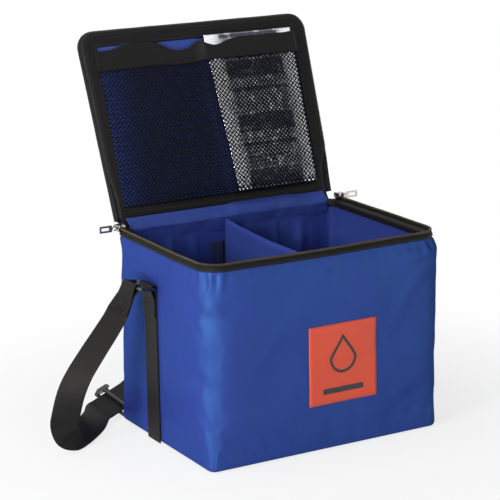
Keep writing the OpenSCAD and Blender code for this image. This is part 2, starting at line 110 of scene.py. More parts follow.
@dataclass(frozen=True)
class BagSizes:
    """Sizes of the bag that several of its pieces share, in metres."""

    half_w: float = 0.1525
    half_d: float = 0.114
    corner_r: float = 0.024
    cloth_top: float = 0.230
    inside_in: float = 0.0106
    inside_z: float = 0.0126
    inside_back_r: float = 0.009
    teeth_z: float = 0.238
    teeth_in: float = 0.0006
    hinge_y: float = 0.116
    hinge_z: float = 0.240
    foot_r: float = 0.010
    bulge: float = 7.5 * MM
    # Each sag of the rim: its height in millimetres, its x and y, and its reach.
    sags: Tuple[Station, ...] = ((-1.1, -0.010, -0.114, 0.075), (-0.8, -0.152, -0.020, 0.060))

    def wave(self, x: float, y: float) -> float:
        """Returns how far the soft rim rises at a place, which is 0 towards the hinge.

        Args:
            x: of the rim.
            y: of the rim.

        Returns:
            The rise, in metres, mostly below 0.
        """
        rise = sum(high * math.exp(-((x - cx) ** 2 + (y - cy) ** 2) / reach ** 2)
                   for high, cx, cy, reach in self.sags)
        rise += min(0.1, 0.5 * noise.noise(Vector((x * 22, y * 22, 0.3))))
        return rise * MM * smooth_step(0.095, 0.060, y)

    def lift(self, x: float, y: float, z: float) -> float:
        """Returns how far a point of a wall rises with the rim above it."""
        return self.wave(x, y) * smooth_step(0.180, 0.230, z)

    def flare(self, x: float, y: float, z: float) -> float:
        """Returns how far the padded wall stands out to the right at the front right corner, below the rim.

        Args:
            x: of a point of the wall.
            y: of the point.
            z: of the point.

        Returns:
            The shift in x.
        """
        share = smooth_step(0.05, 0.15, x) * smooth_step(0.010, -0.105, y)
        return self.bulge * share * smooth_step(0.010, 0.170, z) * smooth_step(0.2322, 0.2120, z)

    def corner(self, z: float) -> float:
        """Returns the radius of the upright corners, which get tighter towards the base."""
        share = min(1.0, max(0.0, z / self.cloth_top))
        return self.foot_r + (self.corner_r - self.foot_r) * share ** 0.8

    def reshape(self, x: float, y: float, nx: float, ny: float, r: float) -> Tuple[float, float]:
        """Moves a point of the plain outline to one with another corner radius.

        Args:
            x: of the plain outline.
            y: of the plain outline.
            nx: outward normal.
            ny: outward normal.
            r: the other radius.

        Returns:
            The moved point.
        """
        if min(abs(nx), abs(ny)) > 1e-6:
            return (math.copysign(self.half_w - r, x) + r * nx, math.copysign(self.half_d - r, y) + r * ny)
        if abs(ny) > abs(nx):
            return (x * (self.half_w - r) / (self.half_w - self.corner_r), y)
        return (x, y * (self.half_d - r) / (self.half_d - self.corner_r))


@dataclass(frozen=True)
class LidSizes:
    """Sizes of the lid, with s away from the hinge and h out of its plane, in metres."""

    half_w: float = 0.1545
    far: float = 0.230
    corner_r: float = 0.020
    rest_angle: float = math.radians(108.3)
    window_half_w: float = 0.1343
    pull_in: float = 0.010
    clear_left: float = 3.5 * MM
    clear_right: float = 13.0 * MM

    def lean(self, x: float, s: float, h: float = 0.0) -> float:
        """Returns how far the side edges are drawn in at a place, which clears the sliders at the hinge.

        Args:
            x: distance to the right of the middle.
            s: distance from the hinge line.
            h: height over the inner face.

        Returns:
            The shift in x.
        """
        share = min(1.15, max(0.0, abs(x) - self.window_half_w) / (self.half_w - self.window_half_w))
        near = smooth_step(0.064, 0.026, s) * smooth_step(4.4 * MM, 2.6 * MM, h)
        if x < 0:
            return share * (self.pull_in * min(1.0, max(0.0, 1 - s / self.far)) + self.clear_left * near)
        return -share * (self.clear_right * near + 2.0 * MM * smooth_step(0.060, 0.0, s))

    def place(self, x: float, s: float, h: float) -> Point:
        """Puts a point of the lid where it lies with the lid at rest.

        Args:
            x: distance to the right of the middle.
            s: distance from the hinge line.
            h: height over the lid's inner face, positive towards its outside.

        Returns:
            The point in the row frame.
        """
        c, k = math.cos(self.rest_angle), math.sin(self.rest_angle)
        return (x + self.lean(x, s, h), BAG.hinge_y - c * s + k * h, BAG.hinge_z + k * s + c * h)

    def outward(self) -> np.ndarray:
        """Returns the direction out of the lid's outer face."""
        return np.array(self.place(0, 0, 1)) - np.array(self.place(0, 0, 0))


BAG = BagSizes()
LID = LidSizes()


# ---------------------------------------------------------------- finishes


class Nodes:
    """Builds the nodes of one material or world."""

    def __init__(self, owner: bpy.types.ID, out: str) -> None:
        """Starts with nothing but an output.

        Args:
            owner: the material or world.
            out: type of its output node, without its ShaderNode prefix.
        """
        owner.use_nodes = True
        self.tree = owner.node_tree
        self.tree.nodes.clear()
        self.out = self.node(out)

    def fill(self, node: bpy.types.Node, sockets: Dict[object, object]) -> None:
        """Links or sets the inputs of a node.

        Args:
            node: the node.
            sockets: for each input, by name or number, the socket to link to it or its value.
        """
        for key, value in sockets.items():
            if isinstance(value, Socket):
                self.tree.links.new(value, node.inputs[key])
            else:
                node.inputs[key].default_value = value

    def node(self, kind: str, sockets: Optional[Dict[object, object]] = None, **settings: object) -> bpy.types.Node:
        """Adds a node.

        Args:
            kind: type of the node, without its ShaderNode prefix.
            sockets: its inputs, as fill takes them.
            **settings: properties of the node.

        Returns:
            The node.
        """
        made = self.tree.nodes.new("ShaderNode" + kind)
        for key, value in settings.items():
            setattr(made, key, value)
        self.fill(made, sockets or {})
        return made

    def end(self, shader: Socket) -> None:
        """Links a shader to the output."""
        self.fill(self.out, {0: shader})

    def math(self, operation: str, *values: object) -> Socket:
        """Returns the result of a math node, of which each value is a socket or a number."""
        return self.node("Math", dict(enumerate(values)), operation=operation).outputs[0]

    def mix(self, share: object, a: Socket, b: Socket) -> Socket:
        """Returns the mix of two shaders."""
        return self.node("MixShader", {0: share, 1: a, 2: b}).outputs[0]

    def ramp(self, value: Socket, low: float, high: float, start: float = 0.0) -> Socket:
        """Returns a smooth rise from start to 1 while the value goes from low to high."""
        sockets = {"Value": value, "From Min": low, "From Max": high, "To Min": start}
        return self.node("MapRange", sockets, interpolation_type="SMOOTHSTEP").outputs["Result"]

    def seen(self) -> Socket:
        """Tells the camera's rays from the rest.

        Returns:
            1 for rays from the camera, also by way of gloss or glass, and else 0.
        """
        rays = self.node("LightPath").outputs
        direct = self.math("MAXIMUM", rays["Is Camera Ray"], rays["Is Glossy Ray"])
        return self.math("MAXIMUM", direct, rays["Is Transmission Ray"])


class Shader(Nodes):
    """Builds one procedural material round a principled shader."""

    def __init__(self, name: str) -> None:
        """Starts the material.

        Args:
            name: name of the material.
        """
        self.material = bpy.data.materials.new(name)
        super().__init__(self.material, "OutputMaterial")
        self.bsdf = self.node("BsdfPrincipled")
        self.end(self.bsdf.outputs[0])

    def set(self, **sockets: object) -> None:
        """Links or sets sockets of the principled shader, with _ for a space in the name."""
        self.fill(self.bsdf, {key.replace("_", " "): value for key, value in sockets.items()})

    def laid(self) -> List[Socket]:
        """Returns the two flat cloth coordinates that the meshes carry, in metres."""
        found = self.node("Attribute", attribute_name="laid").outputs["Vector"]
        return list(self.node("SeparateXYZ", {0: found}).outputs)[:2]

    def noise(self, scale: float, detail: float) -> Socket:
        """Returns a noise over the object's own coordinates, with scale spots to a metre."""
        sockets = {"Scale": scale, "Detail": detail, "Vector": self.node("TexCoord").outputs["Object"]}
        return self.node("TexNoise", sockets).outputs["Fac"]

    def blend(self, share: Socket, a: object, b: object) -> Socket:
        """Returns the mix of two colours, each a socket or a triple."""
        a, b = (c if isinstance(c, Socket) else (*c, 1) for c in (a, b))
        return self.node("Mix", {"Factor": share, "A": a, "B": b}, data_type="RGBA").outputs["Result"]

    def bump(self, height: Socket, depth: float, strength: float) -> None:
        """Adds a bump to the shader's normal.

        Args:
            height: from 0 to 1.
            depth: metres that 1 stands for.
            strength: of the bump.
        """
        sockets = {"Height": height, "Distance": depth, "Strength": strength}
        links = self.bsdf.inputs["Normal"].links
        if links:
            sockets["Normal"] = links[0].from_socket
        self.set(Normal=self.node("Bump", sockets).outputs[0])


@dataclass(frozen=True)
class Weave:
    """A woven cloth: two colours, the weave's pitch and how it takes the light."""

    name: str
    dark: Colour
    light: Colour
    pitch: float
    relief: float
    roughness: float = 0.5
    sheen: float = 0.0
    sheen_tint: Colour = (0.5, 0.7, 1.0)
    wrinkle: float = 0.0
    ribbed: bool = False
    specular: float = 0.5
    gloss: float = 0.0
    gloss_tint: Colour = (1.0, 1.0, 1.0)
    gloss_rough: float = 0.36

    def build(self) -> bpy.types.Material:
        """Builds the material.

        Returns:
            The material.
        """
        s = Shader(self.name)
        u, v = s.laid()
        turns = 2 * math.pi / self.pitch
        across = s.math("SINE", s.math("MULTIPLY", u, turns))
        along = s.math("SINE", s.math("MULTIPLY", v, turns * (0.5 if self.ribbed else 1)))
        threads = s.math("ADD", s.math("MULTIPLY", across, along), s.math("MULTIPLY", along, 0.4))
        weave = s.math("MULTIPLY_ADD", threads, 0.35, 0.5)
        tone = s.math("ADD", s.math("MULTIPLY", weave, 0.45), s.math("MULTIPLY", s.noise(22, 4), 0.55))
        s.bump(weave, self.relief, 0.7)
        if self.wrinkle > 0:
            s.bump(s.noise(70, 5), self.wrinkle, 0.6)
        s.set(Base_Color=s.blend(tone, self.dark, self.light), Roughness=self.roughness, Sheen_Weight=self.sheen,
              Sheen_Roughness=0.45, Specular_IOR_Level=self.specular, Sheen_Tint=(*self.sheen_tint, 1))
        if self.gloss > 0:
            normal = s.bsdf.inputs["Normal"].links[0].from_socket
            satin = s.node("BsdfAnisotropic", {"Color": (*self.gloss_tint, 1), "Roughness": self.gloss_rough,
                                               "Normal": normal})
            s.end(s.mix(self.gloss, s.bsdf.outputs[0], satin.outputs[0]))
        return s.material


@dataclass(frozen=True)
class Plain:
    """A smooth or slightly grained finish, such as plastic, metal or thread."""

    name: str
    dark: Colour
    light: Colour
    roughness: float
    metallic: float = 0.0
    grain: float = 300.0
    relief: float = 0.02 * MM
    coat: float = 0.0
    specular: float = 0.5

    def build(self) -> bpy.types.Material:
        """Builds the material.

        Returns:
            The material.
        """
        s = Shader(self.name)
        s.set(Base_Color=s.blend(s.noise(35, 3), self.dark, self.light), Roughness=self.roughness,
              Metallic=self.metallic, Coat_Weight=self.coat, Specular_IOR_Level=self.specular)
        s.bump(s.noise(self.grain, 4), self.relief, 0.6)
        return s.material


@dataclass(frozen=True)
class FilmBands:
    """The cold pack's silver film with painted reflections (a darker painted middle, painted glints towards its sides
    and on its crinkles) and three plain dark bands of print.
    """

    name: str = "silver_film"
    # edge is the painted glint colour and middle the darker painted reflection colour of the metallic film; band is
    # the colour of the print.
    edge: Colour = (0.80, 0.81, 0.84)
    middle: Colour = (0.17, 0.175, 0.20)
    band: Colour = (0.012, 0.016, 0.035)
    pitch: float = 0.068
    first: float = 0.069
    width: float = 0.022
    stripe: float = 0.052
    stripe_width: float = 0.0045
    reach: float = 0.041

    def build(self) -> bpy.types.Material:
        """Builds the material.

        Returns:
            The material.
        """
        s = Shader(self.name)
        u, v = s.laid()
        bars = []
        for first, width in ((self.first, self.width), (self.stripe, self.stripe_width)):
            turn = s.math("FRACT", s.math("DIVIDE", s.math("SUBTRACT", v, first), self.pitch))
            bars.append(s.math("LESS_THAN", turn, width / self.pitch))
        side = s.math("ABSOLUTE", u)
        band = s.math("MULTIPLY", s.math("MAXIMUM", *bars), s.math("LESS_THAN", side, self.reach))
        waver = s.math("MULTIPLY", s.math("SUBTRACT", s.noise(60, 2), 0.5), 0.012)
        crinkle = s.noise(110, 6)
        # Painted glint: the film is painted lighter towards its sides and on the peaks of its crinkles, and darker
        # over its middle, in place of reflections.
        painted_glint = s.math("MAXIMUM", s.ramp(s.math("ADD", side, waver), 0.034, 0.053),
                        s.math("MULTIPLY", s.ramp(crinkle, 0.52, 0.68), 0.75))
        film = s.blend(painted_glint, self.middle, self.edge)
        s.set(Base_Color=s.blend(s.math("MULTIPLY", band, 0.80), film, self.band), Metallic=0.9, Roughness=0.2,
              Coat_Weight=0.1)
        s.bump(crinkle, 2.0 * MM, 0.9)
        s.bump(s.noise(420, 3), 0.25 * MM, 0.5)
        return s.material


@dataclass
class Finishes:
    """Every finish of the bag, built once."""

    made: Dict[str, bpy.types.Material] = field(default_factory=dict)
    kinds: Tuple[object, ...] = (
        Weave("blue_cloth", (0.015, 0.024, 0.158), (0.027, 0.042, 0.228), 0.9 * MM, 0.06 * MM, 0.5, 0.02,
              (0.35, 0.75, 1.0), 0.5 * MM, True, 0.0, 0.042, (0.14, 0.64, 1.0), 0.42),
        Weave("blue_lining", (0.024, 0.042, 0.215), (0.044, 0.070, 0.310), 0.5 * MM, 0.03 * MM, 0.5, 0.04,
              (0.45, 0.65, 1.0), 0.35 * MM, False, 0.0, 0.030, (0.3, 0.6, 1.0)),
        Weave("black_tape", (0.002, 0.0018, 0.002), (0.0058, 0.0052, 0.0055), 0.9 * MM, 0.10 * MM, 0.6,
              wrinkle=0.2 * MM, ribbed=True, specular=0.16),
        Weave("black_webbing", (0.002, 0.0018, 0.0018), (0.0092, 0.0080, 0.0076), 1.7 * MM, 0.28 * MM, 0.55,
              ribbed=True, specular=0.14),
        Weave("grip_tape", (0.006, 0.012, 0.06), (0.012, 0.022, 0.10), 0.9 * MM, 0.3 * MM, 0.9, 0.05),
        Weave("patch", (0.50, 0.040, 0.012), (0.60, 0.060, 0.018), 0.6 * MM, 0.03 * MM, 0.42, 0.05,
              (1.0, 0.7, 0.6), 0.15 * MM),
        Plain("black_net", (0.0012, 0.0015, 0.003), (0.003, 0.0036, 0.006), 0.6, grain=900, specular=0.10),
        Plain("mark", (0.008, 0.007, 0.008), (0.014, 0.013, 0.013), 0.5),
        Plain("zip_teeth", (0.035, 0.026, 0.012), (0.085, 0.064, 0.030), 0.36, 0.35, 700),
        Plain("black_teeth", (0.006, 0.0055, 0.006), (0.02, 0.018, 0.018), 0.35, grain=700),
        Plain("zip_metal", (0.30, 0.29, 0.275), (0.48, 0.465, 0.44), 0.24, 1.0, 500, 0.01 * MM),
        Plain("black_wire", (0.008, 0.008, 0.010), (0.015, 0.015, 0.018), 0.22, 0.0, 400, 0.01 * MM, 0.6),
        Plain("black_plastic", (0.006, 0.006, 0.006), (0.012, 0.012, 0.013), 0.38, grain=900),
        Plain("thread_black", (0.010, 0.009, 0.010), (0.028, 0.025, 0.025), 0.7),
        FilmBands(),
    )

    def __post_init__(self) -> None:
        """Builds the materials."""
        self.made.update({kind.name: kind.build() for kind in self.kinds})

    def __getitem__(self, name: str) -> bpy.types.Material:
        """Returns a finish by name."""
        return self.made[name]

    def dress(self, nodes: Dict[str, bpy.types.Object]) -> None:
        """Gives the CAD nodes that stay in view their finish.

        Args:
            nodes: the frame's nodes by name.
        """
        for finish, names in IN_VIEW.items():
            for name in names:
                nodes[name].data.materials.clear()
                nodes[name].data.materials.append(self[finish])


IN_VIEW = {
    "grip_tape": ("front_loop_tape", "back_loop_tape", "divider_front_hook", "divider_back_hook"),
    "zip_metal": ("left_slider", "right_slider", "left_pull", "right_pull"),
    "black_wire": ("left_ring", "right_ring"),
    "black_plastic": ("strap_adjuster",),
}


# ---------------------------------------------------------------- mesh helpers


def grid_faces(rows: int, columns: int, wrap: bool = False) -> List[Face]:
    """Joins the points of a grid.

    Args:
        rows: of the grid.
        columns: of the grid.
        wrap: whether each row's end joins its start.

    Returns:
        The faces.
    """
    steps = columns if wrap else columns - 1
    return [(i * columns + j, i * columns + (j + 1) % columns, (i + 1) * columns + (j + 1) % columns,
             (i + 1) * columns + j) for i in range(rows - 1) for j in range(steps)]


@dataclass
class Sheet:
    """A grid of points, with flat cloth coordinates, that becomes a mesh."""

    rows: List[List[Point]] = field(default_factory=list)
    laid: List[List[Flat]] = field(default_factory=list)
    wrap: bool = False

    def add(self, row: Iterable[Point], laid: Iterable[Flat]) -> None:
        """Adds a row of points with their flat coordinates."""
        self.rows.append(list(row))
        self.laid.append(list(laid))

    def faces(self) -> List[Face]:
        """Returns the grid's faces."""
        return grid_faces(len(self.rows), len(self.rows[0]), self.wrap)


def make_object(name: str, points: Sequence[Point], faces: Sequence[Face],
                material: Optional[bpy.types.Material] = None, laid: Sequence[Flat] = (),
                smooth: bool = True) -> bpy.types.Object:
    """Makes a mesh object.

    Args:
        name: name of the piece.
        points: the vertices, in metres.
        faces: the faces, as indices.
        material: its finish.
        laid: flat cloth coordinates of each vertex, or the vertices' own place.
        smooth: whether the faces are shaded smooth.

    Returns:
        The object, linked to the scene.
    """
    mesh = bpy.data.meshes.new(name)
    mesh.from_pydata([tuple(p) for p in points], [], [tuple(f) for f in faces])
    mesh.validate()
    source = laid if len(laid) else [(p[0], p[1] + p[2]) for p in points]
    flat = np.array([(a, b, 0.0) for a, b in source], np.float32)
    mesh.attributes.new("laid", "FLOAT_VECTOR", "POINT").data.foreach_set("vector", flat.ravel())
    if material:
        mesh.materials.append(material)
    mesh.polygons.foreach_set("use_smooth", [smooth] * len(mesh.polygons))
    made = bpy.data.objects.new(name, mesh)
    bpy.context.scene.collection.objects.link(made)
    return made


def sheet_object(name: str, sheet: Sheet, material: bpy.types.Material, thick: float = 0.0, offset: float = -1.0,
                 levels: int = 0, caps: Sequence[Face] = (), flip: bool = False) -> bpy.types.Object:
    """Makes a piece from a grid.

    Args:
        name: name of the piece.
        sheet: the grid.
        material: its finish.
        thick: thickness that is added, in metres.
        offset: side of the grid that the thickness is added to.
        levels: subdivision levels.
        caps: faces that close its ends.
        flip: whether the grid's faces look the other way.

    Returns:
        The object.
    """
    faces = [*caps, *(f[::-1] if flip else f for f in sheet.faces())]
    made = make_object(name, [p for row in sheet.rows for p in row], faces, material,
                       [p for row in sheet.laid for p in row])
    if levels:
        rounder = made.modifiers.new("Smooth", "SUBSURF")
        rounder.levels = rounder.render_levels = levels
    if thick:
        solid = made.modifiers.new("Thick", "SOLIDIFY")
        solid.thickness, solid.offset, solid.use_even_offset = thick, offset, False
        bake(made)
    return made


def bake(obj: bpy.types.Object) -> None:
    """Applies the modifiers of a piece.

    Args:
        obj: the piece.
    """
    graph = bpy.context.evaluated_depsgraph_get()
    mesh = bpy.data.meshes.new_from_object(obj.evaluated_get(graph))
    obj.modifiers.clear()
    obj.data = mesh


def fit(obj: bpy.types.Object, body: Body, slot: str, *nodes: str) -> bpy.types.Object:
    """Lets a piece ride on its body and hides the CAD nodes that it replaces.

    Args:
        obj: the piece.
        body: what it moves with.
        slot: not used.
        *nodes: the CAD nodes.

    Returns:
        The piece.
    """
    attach(obj, body.value)
    if nodes:
        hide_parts(*nodes)
    return obj


def pillow_faces(across: int, along: int) -> List[Face]:
    """Joins two grids, one behind the other, round their edge.

    Args:
        across: faces across each grid.
        along: faces along it.

    Returns:
        The faces.
    """
    width, count = across + 1, (across + 1) * (along + 1)
    faces = grid_faces(along + 1, width)
    faces += [tuple(count + k for k in reversed(f)) for f in faces]
    rim = list(range(across)) + [i * width + across for i in range(along)]
    rim += [along * width + j for j in range(across, 0, -1)] + [i * width for i in range(along, 0, -1)]
    return faces + [(b, a, count + a, count + b) for a, b in zip(rim, rim[1:] + rim[:1])]


def between(a: Sequence[float], b: Sequence[float], steps: int) -> List[Tuple[float, ...]]:
    """Returns evenly spaced points from one place to another."""
    return [tuple(p + (q - p) * i / steps for p, q in zip(a, b)) for i in range(steps + 1)]


def unit(v: Sequence[float]) -> np.ndarray:
    """Returns a vector of length 1."""
    a = np.array(v, float)
    return a / max(np.linalg.norm(a), 1e-12)


def ripple(x: float, y: float, z: float, scale: float) -> float:
    """Returns a smooth noise from about -1 to 1, with scale waves to a metre."""
    return noise.noise(Vector((x * scale, y * scale, z * scale)))


@dataclass
class Outline:
    """A rounded rectangle seen along one axis, walked from the middle of its back to its left."""

    half_w: float
    front: float
    back: float
    front_r: float
    back_r: float
    step: float
    bend_steps: int

    def walk(self) -> List[Station]:
        """Walks the outline.

        Returns:
            Its points as x, y and the outward normal.
        """
        made: List[Station] = []

        def line(x0: float, y0: float, x1: float, y1: float, nx: float, ny: float) -> None:
            """Adds the points of a straight stretch, without its end."""
            count = max(1, int(math.hypot(x1 - x0, y1 - y0) / self.step))
            made.extend((x0 + (x1 - x0) * i / count, y0 + (y1 - y0) * i / count, nx, ny) for i in range(count))

        def bend(cx: float, cy: float, r: float, a0: float) -> None:
            """Adds the points of a corner, without its end."""
            turns = [math.radians(a0 + 90 * i / self.bend_steps) for i in range(self.bend_steps)]
            made.extend((cx + r * math.cos(a), cy + r * math.sin(a), math.cos(a), math.sin(a)) for a in turns)

        w, f, b, fr, br = self.half_w, self.front, self.back, self.front_r, self.back_r
        line(0, b, -w + br, b, 0, 1)
        bend(-w + br, b - br, br, 90)
        line(-w, b - br, -w, f + fr, -1, 0)
        bend(-w + fr, f + fr, fr, 180)
        line(-w + fr, f, w - fr, f, 0, -1)
        bend(w - fr, f + fr, fr, 270)
        line(w, f + fr, w, b - br, 1, 0)
        bend(w - br, b - br, br, 0)
        line(w - br, b, 0, b, 0, 1)
        return made


def bag_walk(step: float, bend_steps: int) -> List[Station]:
    """Returns the plain outline of the bag's walls, with its step and the steps to a corner."""
    return Outline(BAG.half_w, -BAG.half_d, BAG.half_d, BAG.corner_r, BAG.corner_r, step, bend_steps).walk()


def distances(points: Sequence[Sequence[float]]) -> List[float]:
    """Returns how far along its path each point lies."""
    return list(accumulate((math.dist(a, b) for a, b in zip(points, points[1:])), initial=0.0))


def tube(path: np.ndarray, radius: float, sides: int) -> Tuple[List[Point], List[Face]]:
    """Sweeps a round section along a path.

    Args:
        path: points of the middle line.
        radius: of the section.
        sides: of the section.

    Returns:
        The points and the faces.
    """
    ahead = np.gradient(path, axis=0)
    ahead /= np.maximum(np.linalg.norm(ahead, axis=1), 1e-12)[:, None]
    up = np.array((0.0, 0.0, 1.0)) if abs(ahead[0][2]) < 0.9 else np.array((1.0, 0.0, 0.0))
    turns = [2 * math.pi * k / sides for k in range(sides)]
    points: List[Point] = []
    for at, along in zip(path, ahead):
        up = up - (up @ along) * along
        up /= max(np.linalg.norm(up), 1e-12)
        side = np.cross(along, up)
        points += [tuple(at + radius * (math.cos(a) * up + math.sin(a) * side)) for a in turns]
    last = (len(path) - 1) * sides
    caps = [tuple(range(sides - 1, -1, -1)), tuple(last + k for k in range(sides))]
    return points, grid_faces(len(path), sides, True) + caps


@dataclass
class Gather:
    """Collects points and faces of many small parts for one mesh."""

    points: List[Point] = field(default_factory=list)
    faces: List[Face] = field(default_factory=list)

    def add(self, points: Sequence[Point], faces: Sequence[Face]) -> None:
        """Adds one part."""
        self.faces.extend([tuple(len(self.points) + i for i in f) for f in faces])
        self.points.extend(points)

    def make(self, name: str, material: bpy.types.Material, smooth: bool = True) -> bpy.types.Object:
        """Makes the object.

        Args:
            name: name of the piece.
            material: its finish.
            smooth: whether the faces are shaded smooth.

        Returns:
            The object.
        """
        return make_object(name, self.points, self.faces, material, (), smooth)


def stitches(gather: Gather, path: Sequence[Sequence[float]], out: Sequence[Sequence[float]],
             length: float = 2.6 * MM, gap: float = 1.1 * MM, width: float = 0.45 * MM) -> None:
    """Adds a row of stitches that lie on a surface.

    Args:
        gather: where they are collected.
        path: points of the row on the surface.
        out: outward normal at each of them.
        length: of one stitch.
        gap: between two.
        width: of the thread.
    """
    p, n = np.array(path, float), np.array(out, float)
    along = distances(p)
    place = 0.5 * gap

    def at(d: float) -> Tuple[np.ndarray, np.ndarray]:
        """Returns the point and normal at a distance."""
        return (np.array([np.interp(d, along, p[:, k]) for k in range(3)]),
                unit([np.interp(d, along, n[:, k]) for k in range(3)]))

    while place + length < along[-1]:
        (a, na), (b, nb) = at(place), at(place + length)
        side = unit(np.cross(b - a, na)) * width / 2
        middle = (a + b) / 2 + (na + nb) / 2 * width * 0.55
        low = width * 0.3
        ring = [a - na * low, (3 * a + b) / 4 + na * width * 0.35, middle,
                (a + 3 * b) / 4 + nb * width * 0.35, b - nb * low]
        points: List[Point] = []
        for i, c in enumerate(ring):
            wide = side * (0.35 if i in (0, 4) else 1.0)
            points += [tuple(c - wide), tuple(c + na * width * 0.25), tuple(c + wide)]
        gather.add(points, grid_faces(len(ring), 3))
        place += length + gap


def coil(path: Sequence[Sequence[float]], flat: Sequence[Sequence[float]], pitch: float = 1.35 * MM,
         wide: float = 1.35 * MM, tall: float = 1.15 * MM, wire: float = 0.36 * MM,
         turn: int = 9) -> Tuple[List[Point], List[Face]]:
    """Winds the coil of zip teeth round a path.

    Args:
        path: points of the middle line.
        flat: at each, the direction that the coil is widest in.
        pitch: from one turn to the next.
        wide: half width.
        tall: half height.
        wire: radius of the wire.
        turn: points to a turn.

    Returns:
        The points and the faces.
    """
    p, f = np.array(path, float), np.array(flat, float)
    along = distances(p)
    d = np.linspace(0, along[-1], int(along[-1] / pitch * turn))
    middle = np.stack([np.interp(d, along, p[:, k]) for k in range(3)], 1)
    wides = np.stack([np.interp(d, along, f[:, k]) for k in range(3)], 1)
    wides /= np.linalg.norm(wides, axis=1)[:, None]
    ahead = np.gradient(middle, axis=0)
    ahead /= np.linalg.norm(ahead, axis=1)[:, None]
    ups = np.cross(wides, ahead)
    a = 2 * math.pi * d / pitch
    ring = middle + wides * (wide * np.cos(a))[:, None] + ups * (tall * np.sin(a))[:, None]
    return tube(ring, wire, 4)


@dataclass
class ClothRun:
    """Settles a sewn, padded cloth with a cloth simulation and returns where its points end up."""

    pressure: float = 0.5
    spare: float = 0.008
    frames: int = 20
    bend: float = 0.08

    def settle(self, points: Sequence[Point], faces: Sequence[Face], pinned: Sequence[int]) -> np.ndarray:
        """Runs the simulation.

        Args:
            points: the cloth's points.
            faces: its faces.
            pinned: the points that are sewn down.

        Returns:
            The settled points.
        """
        trial = make_object("trial", points, faces)
        trial.vertex_groups.new(name="sewn").add(list(pinned), 1.0, "REPLACE")
        cloth = trial.modifiers.new("Cloth", "CLOTH")
        set_up = cloth.settings
        set_up.quality, set_up.mass, set_up.bending_stiffness = 5, 0.15, self.bend
        set_up.tension_stiffness = set_up.compression_stiffness = 15
        set_up.shear_stiffness = 5
        set_up.use_pressure, set_up.uniform_pressure_force = True, self.pressure
        set_up.vertex_group_mass = "sewn"
        set_up.shrink_min = set_up.shrink_max = -self.spare
        set_up.effector_weights.gravity = 0
        cloth.collision_settings.use_collision = False
        cloth.collision_settings.use_self_collision = False
        cloth.point_cache.frame_start, cloth.point_cache.frame_end = 1, self.frames
        for frame in range(1, self.frames + 1):
            bpy.context.scene.frame_set(frame)
        seen = trial.evaluated_get(bpy.context.evaluated_depsgraph_get())
        mesh = seen.to_mesh()
        found = np.empty(len(mesh.vertices) * 3)
        mesh.vertices.foreach_get("co", found)
        seen.to_mesh_clear()
        mesh = trial.data
        bpy.data.objects.remove(trial, do_unlink=True)
        bpy.data.meshes.remove(mesh)
        bpy.context.scene.frame_set(1)
        return found.reshape(-1, 3)


def cap(value: np.ndarray, low: float, high: float) -> np.ndarray:
    """Returns values that level off softly at a low and a high limit."""
    return np.where(value > 0, high * np.tanh(value / high), -low * np.tanh(-value / low))


# ---------------------------------------------------------------- the bag


